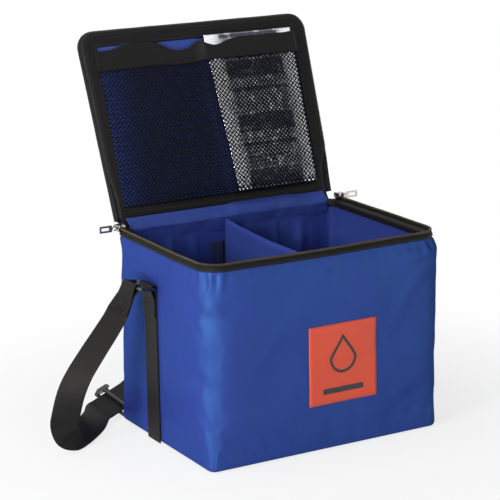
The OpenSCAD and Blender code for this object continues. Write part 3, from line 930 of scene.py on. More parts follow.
@dataclass
class BagBody:
    """The padded body: outer cloth, lining and patch."""

    finishes: Finishes
    # Rows of the outer cloth, of the cloth that is simulated for it, and of the lining.
    rows: int = 64
    trial_rows: int = 44
    lining_rows: int = 46
    # How far the padding swells the walls, and how deep and how high the simulated relief may get.
    swell: float = 1.8 * MM
    deepest: float = 1.6 * MM
    highest: float = 3.6 * MM
    cloth_t: float = 1.1 * MM
    lining_t: float = 0.8 * MM
    # Where the walls' cloth starts, how far it runs on under the rim, and where the side webbing is sewn on.
    foot: float = 0.0075
    over: float = 0.0022
    sewn_y: float = 0.0215
    sewn_half: float = 0.016
    patch_half: Flat = (0.045, 0.0465)
    patch_at: Flat = (0.017, 0.104)
    drop_r: float = 0.0165
    drop_point: float = 1.55
    divider_x: float = -0.018
    # Each crease of the front: x and z of its ends, its height in millimetres and its width.
    front_creases: Tuple[Tuple[float, ...], ...] = (
        (-0.118, 0.205, -0.045, 0.120, 1.1, 0.008), (-0.105, 0.10, -0.055, 0.165, 0.7, 0.007),
        (0.118, 0.200, 0.075, 0.120, 0.9, 0.008), (-0.120, 0.055, -0.060, 0.035, 0.7, 0.009),
        (0.085, 0.050, 0.130, 0.075, 0.8, 0.008))
    # Each fold of the lining at the back: its x, its slope, its height in millimetres and its width.
    back_folds: Tuple[Station, ...] = (
        (-0.112, 0.10, 4.0, 0.011), (-0.084, -0.06, 5.5, 0.006), (-0.055, 0.12, 3.5, 0.010),
        (0.024, -0.15, 4.0, 0.010), (0.058, 0.10, 5.0, 0.008), (0.096, -0.08, 4.5, 0.011))
    # The simulated relief over distance along the outline and height, which stays flat until settle fills it.
    relief: np.ndarray = field(default_factory=lambda: np.zeros((2, 2)))
    relief_s: np.ndarray = field(default_factory=lambda: np.array([0.0, 2.0]))
    relief_z: np.ndarray = field(default_factory=lambda: np.array([0.0, 1.0]))
    front_s: float = 0.42

    def heights(self, count: int) -> List[float]:
        """Returns the heights of the rows of the outer cloth."""
        return [self.foot + (BAG.cloth_top + self.over - self.foot) * i / count for i in range(count + 1)]

    def settle(self) -> None:
        """Simulates the walls' cloth over its padding, sewn down at the rim, the base and the side webbing."""
        walk = bag_walk(5 * MM, 8)
        s = distances([w[:2] for w in walk])
        heights, across = self.heights(self.trial_rows), len(walk)
        sheet = Sheet(wrap=True)
        pinned: List[int] = []
        for i, z in enumerate(heights):
            row = []
            for j, ((x0, y0, nx, ny), d) in enumerate(zip(walk, s)):
                x, y = BAG.reshape(x0, y0, nx, ny, BAG.corner(z))
                out = 0.6 * self.puff(x, y, z, nx, ny, d)
                row.append((x + nx * out, y + ny * out, z))
                if z in (heights[0], heights[-1]) or (abs(nx) > 0.9 and abs(y - self.sewn_y) < self.sewn_half):
                    pinned.append(i * across + j)
            sheet.add(row, ())
        points = [p for row in sheet.rows for p in row]
        found = ClothRun().settle(points, sheet.faces(), pinned)
        normals = np.array([(w[2], w[3], 0.0) for w in walk] * len(heights))
        out = ((found - np.array(points)) * normals).sum(1).reshape(len(heights), across)
        out = cap(out, self.deepest, self.highest)
        LOG.info("outer cloth settled between %.1f and %.1f mm", out.min() / MM, out.max() / MM)
        self.relief = np.concatenate([out, out[:, :1]], 1)
        self.relief_s = np.array([*s, s[-1] + 5 * MM])
        self.relief_z = np.array(heights)
        self.front_s = next(d for (x, y, nx, ny), d in zip(walk, s) if ny < -0.99 and x > -1 * MM)

    def settled(self, s: float, z: float) -> float:
        """Looks up the simulated relief.

        Args:
            s: distance along the outline.
            z: height.

        Returns:
            The relief, in metres, or 0 where nothing was simulated.
        """
        if not self.relief.any():
            return 0.0
        places = []
        for stops, at in ((self.relief_s, s), (self.relief_z, z)):
            k = min(len(stops) - 2, max(0, int(np.searchsorted(stops, at)) - 1))
            share = (at - stops[k]) / max(stops[k + 1] - stops[k], 1e-9)
            places.append((k, min(1.0, max(0.0, share))))
        (j, u), (i, v) = places
        low, high = (r[j] * (1 - u) + r[j + 1] * u for r in (self.relief[i], self.relief[i + 1]))
        return float(low * (1 - v) + high * v)

    def puff(self, x: float, y: float, z: float, nx: float, ny: float, s: float) -> float:
        """Returns how far the outer cloth stands out of its plain box at a place.

        Args:
            x: of the plain outline.
            y: of the plain outline.
            z: height.
            nx: outward normal.
            ny: outward normal.
            s: distance along the outline.

        Returns:
            The distance, in metres.
        """
        rise = max(0.0, math.sin(math.pi * min(1.0, max(0.0, z / BAG.cloth_top)))) ** 0.7
        calm = smooth_step(0, 0.03, z) * smooth_step(0, 0.02, BAG.cloth_top - z)
        if abs(ny) > abs(nx):
            middle = math.cos(math.pi / 2 * min(1.0, abs(x) / (BAG.half_w - 0.01)))
            sewn = 0.0
        else:
            middle = math.cos(math.pi / 2 * min(1.0, abs(y) / (BAG.half_d - 0.01)))
            sewn = math.exp(-((y - 0.024) / 0.027) ** 6)
        out = self.swell * rise * max(0.0, middle) ** 0.7
        out += 1.5 * MM * calm * ripple(x + 0.3 * z, y - 0.2 * z, z, 17)
        out += 0.6 * MM * calm * ripple(x * 1.5 + z * 0.7, y * 1.5, z * 0.5, 42)
        if ny < -0.7:
            out += self.creases(x, z) * calm
        corner = math.exp(-((abs(x) - BAG.half_w + 0.012) ** 2 + (abs(y) - BAG.half_d + 0.012) ** 2) / 0.030 ** 2)
        under = math.exp(-((BAG.cloth_top - z) / (0.011 + 0.007 * corner)) ** 2)
        under *= smooth_step(0, 0.004, BAG.cloth_top - z)
        out += (0.5 + 2.0 * corner) * MM * under * math.sin(2 * math.pi * s / 0.0145 + 2.4 * ripple(s, 0, 0, 30))
        low = math.exp(-((z - 0.008) / 0.012) ** 2)
        out += 0.35 * MM * low * math.sin(2 * math.pi * s / 0.011 + 2 * ripple(s, 1, 0, 25))
        calmed = 1 - 0.55 * smooth_step(0.02, 0.06, y)
        return (out + self.settled(s, z) * calmed) * (1 - sewn) - 0.15 * MM * sewn

    def creases(self, x: float, z: float) -> float:
        """Returns the height of the soft creases of the front wall.

        Args:
            x: distance to the right of the middle.
            z: height.

        Returns:
            The height, in metres.
        """
        made = 0.0
        for x0, z0, x1, z1, high, wide in self.front_creases:
            length = math.hypot(x1 - x0, z1 - z0)
            ax, az = (x1 - x0) / length, (z1 - z0) / length
            t = ((x - x0) * ax + (z - z0) * az) / length
            off = abs((x - x0) * az - (z - z0) * ax)
            if -0.1 < t < 1.1:
                ends = smooth_step(-0.1, 0.35, t) * smooth_step(1.1, 0.6, t)
                made += high * MM * math.exp(-(off / wide) ** 2) * ends
        away = math.hypot(x - 0.012, z - 0.236)
        turn = math.atan2(x - 0.012, 0.236 - z)
        made += 0.9 * MM * math.exp(-away / 0.040) * smooth_step(0.004, 0.015, away) * math.sin(turn * 9 + 0.6)
        return made

    def front_y(self, x: float, z: float) -> float:
        """Returns where the outer cloth of the front wall lies."""
        return -BAG.half_d - self.puff(x, -BAG.half_d, z, 0, -1, self.front_s + x)

    def outer(self) -> None:
        """Builds the outer cloth with its base."""
        walk = bag_walk(4 * MM, 12)
        s = distances([w[:2] for w in walk])
        sheet = Sheet(wrap=True)
        foot = [(*BAG.reshape(x, y, nx, ny, BAG.foot_r), nx, ny) for x, y, nx, ny in walk]
        for inset, z in ((-8.0, 0.4), (-6.0, 0.5), (-3.8, 0.8), (-2.0, 1.6), (-0.8, 3.0), (-0.1, 5.0)):
            sheet.add([(x + nx * inset * MM, y + ny * inset * MM, z * MM) for x, y, nx, ny in foot],
                      [(d, (inset + z) * MM) for d in s])
        for z in self.heights(self.rows):
            row = []
            for (x0, y0, nx, ny), d in zip(walk, s):
                x, y = BAG.reshape(x0, y0, nx, ny, BAG.corner(z))
                out = self.puff(x, y, z, nx, ny, d)
                row.append((x + nx * out + BAG.flare(x0, y0, z), y + ny * out, z + BAG.lift(x0, y0, z)))
            sheet.add(row, [(d, z) for d in s])
        base = tuple(range(len(walk) - 1, -1, -1))
        made = sheet_object("outer_cloth", sheet, self.finishes["blue_cloth"], self.cloth_t, caps=[base])
        fit(made, Body.BAG, "blue_cloth", "outer_shell", "base_panel", "base_foam", "front_foam", "back_foam",
            "left_foam", "right_foam")

    def lining_folds(self, x: float, z: float) -> float:
        """Returns the height of the upright folds in the lining of the back wall.

        Args:
            x: distance to the right of the middle.
            z: height.

        Returns:
            The height, in metres.
        """
        made = 0.0
        for x0, tilt, high, wide in self.back_folds:
            off = x - x0 - tilt * (0.22 - z)
            made += high * MM * max(0.0, 1 - abs(off) / wide) ** 1.4 * smooth_step(0.03, 0.15, z)
        return made

    def lining(self) -> None:
        """Builds the lining of the walls and the floor."""
        inset, levels = BAG.inside_in, self.lining_rows
        walk = Outline(BAG.half_w - inset, -BAG.half_d + inset, BAG.half_d - inset, BAG.corner_r - inset,
                       BAG.inside_back_r, 4 * MM, 12).walk()
        s = distances([w[:2] for w in walk])
        low, high = BAG.inside_z, BAG.cloth_top + 2.5 * MM
        sheet = Sheet(wrap=True)
        for more in (0.0120, 0.0100, 0.006, 0.003, 0.001):
            z = low - 0.0004 + 0.0004 * (more < 0.002)
            sheet.add([(x - nx * more, y - ny * more, z) for x, y, nx, ny in walk], [(d, -more) for d in s])
        for i in range(levels + 1):
            z = low + (high - low) * i / levels
            row = []
            for x, y, nx, ny in walk:
                calm = smooth_step(0, 0.02, z - low) * smooth_step(0.003, 0.045, high - z)
                clear = smooth_step(0.010, 0.030, abs(x - self.divider_x)) if abs(ny) > 0.5 else 1.0
                fold = 3.2 * MM * abs(ripple(x * 2.2 + z * 0.9, y * 2.2, z * 0.5, 12))
                fold += 4.5 * MM * max(0.0, ripple(x + 1.7, y + z * 0.8, z * 0.25, 19))
                fold += 0.8 * MM * ripple(x * 1.4, y * 1.4, z, 48)
                fold += self.lining_folds(x, z) if ny > 0.7 else 0.0
                deep = max(0.0, fold) * calm * clear
                row.append((x - nx * deep, y - ny * deep, z + BAG.lift(x, y, z)))
            sheet.add(row, [(d, z) for d in s])
        made = sheet_object("inner_lining", sheet, self.finishes["blue_lining"], self.lining_t,
                            caps=[tuple(range(len(walk)))], flip=True)
        fit(made, Body.BAG, "blue_lining", "liner_wall", "liner_floor")

    def mark(self, gather: Gather, line: Sequence[Flat], wide: float, closed: bool) -> None:
        """Adds a flat mark along a line on the patch.

        Args:
            gather: where it is collected.
            line: x and z from the middle of the patch.
            wide: its width.
            closed: whether the line ends where it starts.
        """
        (cx, cz), n = self.patch_at, len(line)
        points: List[Point] = []
        for i, (a, b) in enumerate(line):
            p = line[(i - 1) % n if closed else max(0, i - 1)]
            q = line[(i + 1) % n if closed else min(n - 1, i + 1)]
            d = unit((q[0] - p[0], q[1] - p[1]))
            for k, lift in ((-1, 0.70), (-1, 0.92), (1, 0.92), (1, 0.70)):
                x, z = cx + a - d[1] * wide / 2 * k, cz + b + d[0] * wide / 2 * k
                points.append((x, self.front_y(x, z) - lift * MM, z))
        gather.add(points, [tuple(v % (4 * n) for v in face) for face in grid_faces(n + closed, 4)])

    def patch(self) -> None:
        """Builds the patch with a plain drop and a blank bar."""
        (hw, hh), (cx, cz), count = self.patch_half, self.patch_at, 26
        sheet = Sheet()
        for i in range(count + 1):
            z = cz - hh + 2 * hh * i / count
            across = [cx - hw + 2 * hw * j / count for j in range(count + 1)]
            sheet.add([(x, self.front_y(x, z) - 0.75 * MM, z) for x in across], [(x, z) for x in across])
        made = sheet_object("front_patch_cloth", sheet, self.finishes["patch"], 0.6 * MM)
        fit(made, Body.BAG, "orange_patch", "front_patch")
        drop, r, steps, gather = [], self.drop_r, 60, Gather()
        for i in range(steps):
            a = 2 * math.pi * i / steps
            x, z = r * math.sin(a), -r * math.cos(a)
            if z > 0:
                x *= (1 - z / r) ** 0.75
                z *= self.drop_point
            drop.append((x, z + 0.006))
        self.mark(gather, drop, 3.4 * MM, True)
        self.mark(gather, [(-0.027 + 0.0018 * i, -0.0315) for i in range(31)], 6.5 * MM, False)
        fit(gather.make("front_patch_mark", self.finishes["mark"], False), Body.BAG, "black_plastic")

    def build(self) -> None:
        """Builds the body."""
        self.settle()
        self.outer()
        self.lining()
        self.patch()


@dataclass
class RimAndZip:
    """The bound rim with the lower half of the zip."""

    finishes: Finishes

    def path(self) -> List[Station]:
        """Finds the three open sides of the rim.

        Returns:
            The outline from the back left corner to the back right one.
        """
        walk = bag_walk(3 * MM, 14)
        start = next(i for i, w in enumerate(walk) if w[2] < -0.35)
        end = max(i for i, w in enumerate(walk) if w[2] > 0.35)
        return walk[start:end + 1]

    def binding(self) -> None:
        """Builds the tape that folds over the top of the wall."""
        walk = self.path()
        profile = [(0.5, 229.9), (1.3, 230.2), (1.8, 231.2), (1.9, 232.8), (1.4, 234.2), (0.2, 235.0), (-2.5, 235.2),
                   (-5.5, 235.1), (-9.0, 234.9), (-11.4, 234.2), (-12.6, 232.6), (-12.9, 230.4), (-12.5, 228.4),
                   (-11.6, 227.6)]
        run = [r * MM for r in distances(profile)]
        sheet = Sheet()
        for (x, y, nx, ny), d in zip(walk, distances([w[:2] for w in walk])):
            wobble = 0.5 * MM * ripple(d, 0.3, 0, 45) + 0.3 * MM * ripple(d, 3.3, 0, 120)
            row = []
            for n, z in profile:
                low = (235 - z) / 7
                out = n * MM + wobble * low * (1 if n > -5 else -1)
                row.append((x + nx * out, y + ny * out, z * MM + wobble * 0.6 * low + BAG.wave(x, y)))
            sheet.add(row, [(r, d) for r in run])
        made = sheet_object("rim_tape", sheet, self.finishes["black_tape"], 0.8 * MM, 1.0)
        fit(made, Body.BAG, "black_tape", "rim_binding")
        gather = Gather()
        for n, z, away in ((1.9, 231.3, 1), (-12.95, 229.6, -1)):
            line = [(x + nx * n * MM, y + ny * n * MM, z * MM + BAG.wave(x, y)) for x, y, nx, ny in walk]
            stitches(gather, line, [(nx * away, ny * away, 0) for x, y, nx, ny in walk])
        fit(gather.make("rim_stitches", self.finishes["thread_black"]), Body.BAG, "black_tape")

    def zip_path(self) -> List[Station]:
        """Finds the zip's line over the rim.

        Returns:
            The line, which runs on straight at its two ends.
        """
        walk = [w for w in self.path() if w[1] < BAG.half_d - BAG.corner_r + 0.0005]
        reach = [BAG.half_d - BAG.corner_r + k * 4 * MM for k in range(1, 5)]
        left = [(-BAG.half_w, y, -1.0, 0.0) for y in reversed(reach)]
        return left + walk + [(BAG.half_w, y, 1.0, 0.0) for y in reach]

    def zip_half(self) -> None:
        """Builds the zip tape on the rim and its coil of teeth."""
        walk = self.zip_path()
        profile = [(-3.6, 235.25), (-2.0, 235.6), (-0.9, 236.5), (-0.6, 237.3), (-0.3, 236.5), (0.5, 235.5),
                   (1.2, 234.6)]
        sheet = Sheet()
        for (x, y, nx, ny), d in zip(walk, distances([w[:2] for w in walk])):
            rise = BAG.wave(x, y)
            sheet.add([(x + nx * n * MM, y + ny * n * MM, z * MM + rise) for n, z in profile],
                      [(k * 1.4 * MM, d) for k in range(len(profile))])
        made = sheet_object("rim_zip_tape", sheet, self.finishes["black_tape"], 0.35 * MM, 0.0)
        fit(made, Body.BAG, "black_tape", "body_zip_tape")
        middle = [(x - nx * BAG.teeth_in, y - ny * BAG.teeth_in, BAG.teeth_z + BAG.wave(x, y))
                  for x, y, nx, ny in walk]
        points, faces = coil(middle, [(nx * 0.5, ny * 0.5, 0.87) for x, y, nx, ny in walk])
        teeth = make_object("rim_zip_teeth", points, faces, self.finishes["zip_teeth"])
        fit(teeth, Body.BAG, "zip_teeth", "body_zip_teeth")

    def build(self) -> None:
        """Builds the rim."""
        self.binding()
        self.zip_half()


# ---------------------------------------------------------------- the lid


@dataclass
class Lid:
    """The padded lid: outer cloth, edge band, border tape, lining and the upper half of the zip."""

    finishes: Finishes
    cover_h: float = 0.0112
    dome: float = 2.2 * MM
    low_half: float = 0.1405
    low_steps: int = 80

    def half_at(self, s: float, inset: float = 0.0) -> float:
        """Returns the lid's half width at a distance from the hinge.

        Args:
            s: the distance.
            inset: how far inside the outline.

        Returns:
            The half width.
        """
        r = LID.corner_r
        over = s + inset - (LID.far - r)
        if over <= 0:
            return LID.half_w - inset
        rr = max(r - inset, 0.001)
        over = min(s - (LID.far - r), rr)
        return LID.half_w - r + math.sqrt(max(rr * rr - over * over, 0.0))

    def plan(self, inset: float, h: Callable[[float, float], float], near: float,
             columns: int = 60, rows: int = 48) -> Sheet:
        """Makes a grid over the lid's plan.

        Args:
            inset: how far inside the outline its edge lies.
            h: height at x and s.
            near: distance of its near edge from the hinge.
            columns: across.
            rows: along.

        Returns:
            The grid.
        """
        bends = 12
        far, straight = LID.far - inset, LID.far - LID.corner_r
        stations = [near + (straight - near) * i / (rows - bends) for i in range(rows - bends)]
        stations += [straight + (far - straight) * math.sin(math.pi / 2 * i / bends) for i in range(bends + 1)]
        sheet = Sheet()
        for s in stations:
            wide = self.half_at(s, inset)
            row = [wide * (-1 + 2 * j / columns) for j in range(columns + 1)]
            sheet.add([LID.place(x, s, h(x, s)) for x in row], [(x, s) for x in row])
        return sheet

    def path(self, near: float, step: float = 3 * MM, bends: int = 12) -> List[Station]:
        """Walks the lid's three free sides, from near left round to near right.

        Args:
            near: distance of its ends from the hinge.
            step: from one point to the next.
            bends: steps to a corner.

        Returns:
            The points as x, s and the outward normal.
        """
        w, f, r = LID.half_w, LID.far, LID.corner_r
        up, across = int((f - r - near) / step), int(2 * (w - r) / step)
        turns = [math.pi / 2 * i / bends for i in range(bends)]
        made: List[Station] = [(-w, near + (f - r - near) * i / up, -1.0, 0.0) for i in range(up)]
        made += [(-w + r - r * math.cos(a), f - r + r * math.sin(a), -math.cos(a), math.sin(a)) for a in turns]
        made += [(-w + r + 2 * (w - r) * i / across, f, 0.0, 1.0) for i in range(across)]
        made += [(w - r + r * math.sin(a), f - r + r * math.cos(a), math.sin(a), math.cos(a)) for a in turns]
        made += [(w, f - r - (f - r - near) * i / up, 1.0, 0.0) for i in range(up + 1)]
        return made

    def cover_height(self, x: float, s: float) -> float:
        """Finds the height of the outer cloth, which is domed by the padding.

        Args:
            x: distance to the right of the middle.
            s: distance from the hinge.

        Returns:
            The height over the inner face.
        """
        u = abs(x) / LID.half_w
        v = abs(s - LID.far / 2) / (LID.far / 2)
        rise = max(0.0, 1 - u ** 6) ** 0.5 * max(0.0, 1 - v ** 6) ** 0.5
        return self.cover_h - 1.2 * MM + (self.dome + 1.2 * MM) * rise + 0.7 * MM * ripple(x, s, 0, 20) * rise

    def lining_height(self, x: float, s: float) -> float:
        """Finds the height of the lining, with its soft folds.

        Args:
            x: distance to the right of the middle.
            s: distance from the hinge.

        Returns:
            The height over the inner face.
        """
        calm = smooth_step(0.0, 0.02, LID.window_half_w + 0.004 - abs(x)) * smooth_step(0, 0.02, s - 0.010)
        fold = 1.3 * ripple(x * 0.8 + s, s * 0.5, 0.4, 22) + 0.5 * ripple(x, s, 1.4, 55)
        return (1.6 - 0.8 * calm - 0.9 * calm * fold) * MM

    def cloth(self) -> None:
        """Builds the outer cloth and the lining."""
        outer = sheet_object("lid_outer_cloth", self.plan(0.4 * MM, self.cover_height, 4 * MM),
                             self.finishes["blue_cloth"], 1.0 * MM)
        fit(outer, Body.LID, "blue_cloth", "lid_cover", "lid_foam")
        lining = sheet_object("lid_inner_cloth", self.plan(6 * MM, self.lining_height, 8 * MM, 80, 70),
                              self.finishes["blue_lining"], 0.8 * MM)
        fit(lining, Body.LID, "blue_lining", "lid_lining")

    def swept(self, name: str, profile: Sequence[Flat], node: str, thick: float, wave: float) -> None:
        """Sweeps a section of black tape round the lid's free sides.

        Args:
            name: name of the piece.
            profile: points out of the outline and up from the inner face, in millimetres.
            node: the CAD node it stands for.
            thick: its thickness.
            wave: how far it wavers.
        """
        walk = self.path(3 * MM)
        run = [r * MM for r in distances(profile)]
        sheet = Sheet()
        for (x, s, nx, ns), d in zip(walk, distances([w[:2] for w in walk])):
            row = []
            for k, (n, h) in enumerate(profile):
                out = max(n * MM, -LID.corner_r + 0.1 * MM) + wave * ripple(d, k * 0.01, 0, 40)
                row.append(LID.place(x + nx * out, s + ns * out, h * MM + wave * ripple(d, 5 + k * 0.01, 0, 35)))
            sheet.add(row, [(r, d) for r in run])
        fit(sheet_object(name, sheet, self.finishes["black_tape"], thick, 0.0), Body.LID, "black_tape", node)

    def bands(self) -> None:
        """Builds the bands round the lid's edge and inside it."""
        band = [(-3.2, 12.9), (-1.8, 13.2), (-0.4, 12.9), (0.5, 11.8), (0.9, 10.0), (1.0, 8.0), (0.8, 6.0),
                (0.3, 4.4), (-0.6, 3.4)]
        self.swept("lid_side_band", band, "lid_edge_band", 0.8 * MM, 0.25 * MM)
        border = [(-0.8, 3.4), (-1.2, 2.2), (-2.2, 1.0), (-4.0, 0.5), (-8.0, 0.35), (-13.0, 0.3), (-18.0, 0.35),
                  (-19.6, 0.7), (-19.8, 1.5)]
        self.swept("lid_inner_band", border, "lid_border_tape", 0.6 * MM, 0.2 * MM)

    def zip_half(self) -> None:
        """Builds the upper half of the zip."""
        walk, up = self.path(28 * MM), LID.outward()
        middle = [LID.place(x - nx * 1.4 * MM, s - ns * 1.4 * MM, 2.2 * MM) for x, s, nx, ns in walk]
        flat = [np.array(LID.place(nx, ns, 0)) - np.array(LID.place(0, 0, 0)) - 0.4 * up for x, s, nx, ns in walk]
        points, faces = coil(middle, flat)
        teeth = make_object("lid_coil", points, faces, self.finishes["black_teeth"])
        fit(teeth, Body.LID, "zip_teeth", "lid_zip_teeth")

    def seams(self) -> None:
        """Builds the stitches of the bands."""
        gather, down = Gather(), -LID.outward()
        lines = [[LID.place(x + nx * n * MM, s + ns * n * MM, 0.02 * MM) for x, s, nx, ns in self.path(10 * MM)]
                 for n in (-5.0, -17.6)]
        lines.append(between(LID.place(-0.128, 10.5 * MM, -0.1 * MM), LID.place(0.128, 10.5 * MM, -0.1 * MM), 80))
        for line in lines:
            stitches(gather, line, [down] * len(line))
        fit(gather.make("lid_stitches", self.finishes["thread_black"]), Body.LID, "black_tape")

    def low_band(self) -> None:
        """Builds the flat band along the hinge."""
        line = [(3.2, 1.6), (4.0, 0.7), (7, 0.4), (12, 0.3), (16.4, 0.35), (17.6, 0.9)]
        sheet = Sheet()
        for i in range(self.low_steps + 1):
            x = -self.low_half + 2 * self.low_half * i / self.low_steps
            sheet.add([LID.place(x, s * MM, h * MM) for s, h in line], [(s * MM, x) for s, h in line])
        fit(sheet_object("lid_low_band", sheet, self.finishes["black_tape"], 0.6 * MM, 0.0), Body.LID, "black_tape")

    def build(self) -> None:
        """Builds the lid."""
        self.cloth()
        self.bands()
        self.zip_half()
        self.seams()
        self.low_band()


@dataclass
class NetPocket:
    """The net pocket with its hem."""

    finishes: Finishes
    half_w: float = 0.1365
    low: float = 0.0168
    top: float = 0.182
    spacing: float = 3.9 * MM
    strand_t: float = 0.34 * MM
    # How far the pack holds the net off, in millimetres.
    pack_t: float = 13.9
    hem_half: float = 0.139
    mouth_left: float = 0.2112
    mouth_right: float = 0.2052

    def depth(self, x: float, s: float) -> float:
        """Returns how far the pocket stands off the lid's inner face.

        Args:
            x: distance right of the middle.
            s: distance from the hinge.

        Returns:
            The depth, positive towards the inside of the bag.
        """
        left = smooth_step(-0.1375, -0.118, x)
        shift = 0.014 * min(1.0, max(0.0, 1 - s / 0.200))
        over = smooth_step(-0.012, 0.0045, x - shift)
        right = 1 - smooth_step(0.1262, 0.1372, x)
        ramp = 0.55 + 0.45 * smooth_step(0.016, 0.034, s)
        loose = 1.8 + 4.6 * smooth_step(-0.125, -0.040, x)
        sag = 0.5 * ripple(x, s, 0.7, 16) * left * right * (1 - over)
        return ((loose * left * (1 - over) + self.pack_t * over) * right * ramp + sag) * MM

    def wide(self, x: float) -> float:
        """Returns the strands' width, which is less where the net is stretched."""
        slack = smooth_step(-0.128, -0.085, x) * smooth_step(0.016, -0.012, x)
        return (1.32 + 0.58 * slack) * MM

    def strand(self, gather: Gather, start: float, slope: int, lift: float) -> None:
        """Adds one strand, which thickens at every second crossing.

        Args:
            gather: where it is collected.
            start: x where its line meets the low edge.
            slope: 1 where it leans right and -1 where it leans left.
            lift: how far off the other strands it lies.
        """
        span, thick = self.top - self.low, self.strand_t
        pieces = int(span / (self.spacing * math.sqrt(2) / 2))
        line = [(start + span * k / pieces * slope, self.low + span * k / pieces) for k in range(pieces + 1)]
        line = [p for p in line if -self.half_w <= p[0] <= self.half_w]
        if len(line) < 2:
            return
        points: List[Point] = []
        for k, (x, s) in enumerate(line):
            a = self.wide(x) / 2 * (0.9 if k % 2 else 1.25) / math.sqrt(2)
            section = ((x - a * slope, s + a, 0), (x, s, thick), (x + a * slope, s - a, 0), (x, s, -thick * 0.3))
            points += [LID.place(u, v, -self.depth(u, v) - lift - h) for u, v, h in section]
        last = 4 * (len(line) - 1)
        caps = [(3, 2, 1, 0), (last, last + 1, last + 2, last + 3)]
        gather.add(points, grid_faces(len(line), 4, True) + caps)

    def net(self) -> None:
        """Builds the net as two crossing sets of strands."""
        gather = Gather()
        span, diagonal = self.top - self.low, self.spacing * math.sqrt(2)
        for slope, lift in ((1, 0.0), (-1, 0.22 * MM)):
            first = -self.half_w - (span if slope > 0 else 0)
            for i in range(int((2 * self.half_w + span) / diagonal) + 1):
                self.strand(gather, first + i * diagonal, slope, lift)
        made = gather.make("pocket_mesh", self.finishes["black_net"])
        fit(made, Body.LID, "black_net", "pocket_net", "pocket_gusset")

    def hem(self) -> None:
        """Builds the bound mouth of the pocket, which sags open beside the cold pack."""
        sheet, count, steps = Sheet(), 110, 8
        for i in range(count + 1):
            x = -self.hem_half + 2 * self.hem_half * i / count
            gape = math.exp(-abs((x + 0.028) / 0.024) ** 3)
            top = self.mouth_left - 0.0140 * gape - 0.0060 * smooth_step(-0.096, -0.122, x)
            right = self.mouth_right - 0.0075 * math.exp(-((x - 0.016) / 0.017) ** 2)
            right += 0.0012 * ripple(x, 0.4, 0, 60)
            top += (right - top) * smooth_step(-0.006, 0.004, x)
            low = self.top - 1.5 * MM - 1.5 * MM * gape
            row, flat = [], []
            for k in range(steps + 1):
                t = k / steps
                s = low + (top - low) * t
                wave = 0.35 * MM * ripple(x, s, 3, 40)
                lean = (1 - smooth_step(0.3, 1.0, t)) if x < 0 else 1.0
                deep = self.depth(x, min(s, 0.18)) * (0.25 + 0.75 * lean) + gape * 2.0 * MM * t
                row.append(LID.place(x, s, -deep - 0.5 * MM + wave))
                flat.append((s, x))
            sheet.add(row, flat)
        made = sheet_object("pocket_edge", sheet, self.finishes["black_tape"], 0.9 * MM, 0.0)
        fit(made, Body.LID, "black_tape", "pocket_hem")

    def build(self) -> None:
        """Builds the pocket."""
        self.net()
        self.hem()


@dataclass
class ColdPack:
    """The silver pouch in the pocket."""

    finishes: Finishes
    middle_x: float = 0.0665
    near: float = 0.0176
    half_w: float = 0.061
    length: float = 0.194
    thick: float = 0.0118
    seal: float = 0.009
    level: float = -0.0070
    taper: float = 0.013

    def face_point(self, x: float, s: float, side: int) -> Point:
        """Finds a point of one of its crinkled faces.

        Args:
            x: distance to the right of its middle.
            s: distance from its near end.
            side: 1 for the face at the lid and -1 for the other.

        Returns:
            The point.
        """
        slant = self.taper * (1 - s / self.length) * (1 - x / self.half_w) / 2
        edge = min(self.half_w - abs(x), s, self.length - s)
        full = smooth_step(self.seal, self.seal + 0.026, edge) ** 0.6
        puck = smooth_step(self.seal + 0.022, self.seal, edge)
        fold = 0.9 * ripple(x * 1.6, s, 0.2 * side, 60) + 0.5 * ripple(x, s * 1.3, 2 + side, 130)
        h = 0.5 * MM + (self.thick / 2 - 1.3 * MM) * full + fold * MM * (0.35 * full + 0.5 * puck * full)
        wave = 0.5 * MM * ripple(x, s, 4, 30) * (1 - full)
        return LID.place(self.middle_x + x + slant, self.near + s, self.level + wave + side * max(h, 0.3 * MM))

    def puffed(self, points: List[Point], faces: List[Face], pinned: List[int]) -> List[Point]:
        """Simulates how the filling swells the pouch.

        Args:
            points: of the pouch.
            faces: of the pouch.
            pinned: the points of its seal.

        Returns:
            The moved points.
        """
        out, old = LID.outward(), np.array(points)
        rise = (ClothRun(0.4, 0.02, 16, 0.02).settle(points, faces, pinned) - old) @ out
        low, high = 1.2 * MM, 0.9 * MM
        rise = np.where(np.arange(len(old)) < len(old) // 2, cap(rise, low, high), -cap(-rise, low, high))
        LOG.info("pouch settled between %.1f and %.1f mm", rise.min() / MM, rise.max() / MM)
        return [tuple(p) for p in old + rise[:, None] * out]

    def build(self) -> None:
        """Builds the pouch as two faces that meet in a flat seal."""
        across, along = 60, 90
        flat = [((-1 + 2 * j / across) * self.half_w, i / along * self.length)
                for i in range(along + 1) for j in range(across + 1)] * 2
        sides = [1 if k < len(flat) // 2 else -1 for k in range(len(flat))]
        points = [self.face_point(x, s, side) for (x, s), side in zip(flat, sides)]
        faces = pillow_faces(across, along)
        edges = [min(self.half_w - abs(x), s, self.length - s) for x, s in flat]
        points = self.puffed(points, faces, [k for k, edge in enumerate(edges) if edge <= self.seal])
        made = make_object("gel_pouch", points, faces, self.finishes["silver_film"], flat)
        fit(made, Body.PACK, "silver_film", "cold_pack")


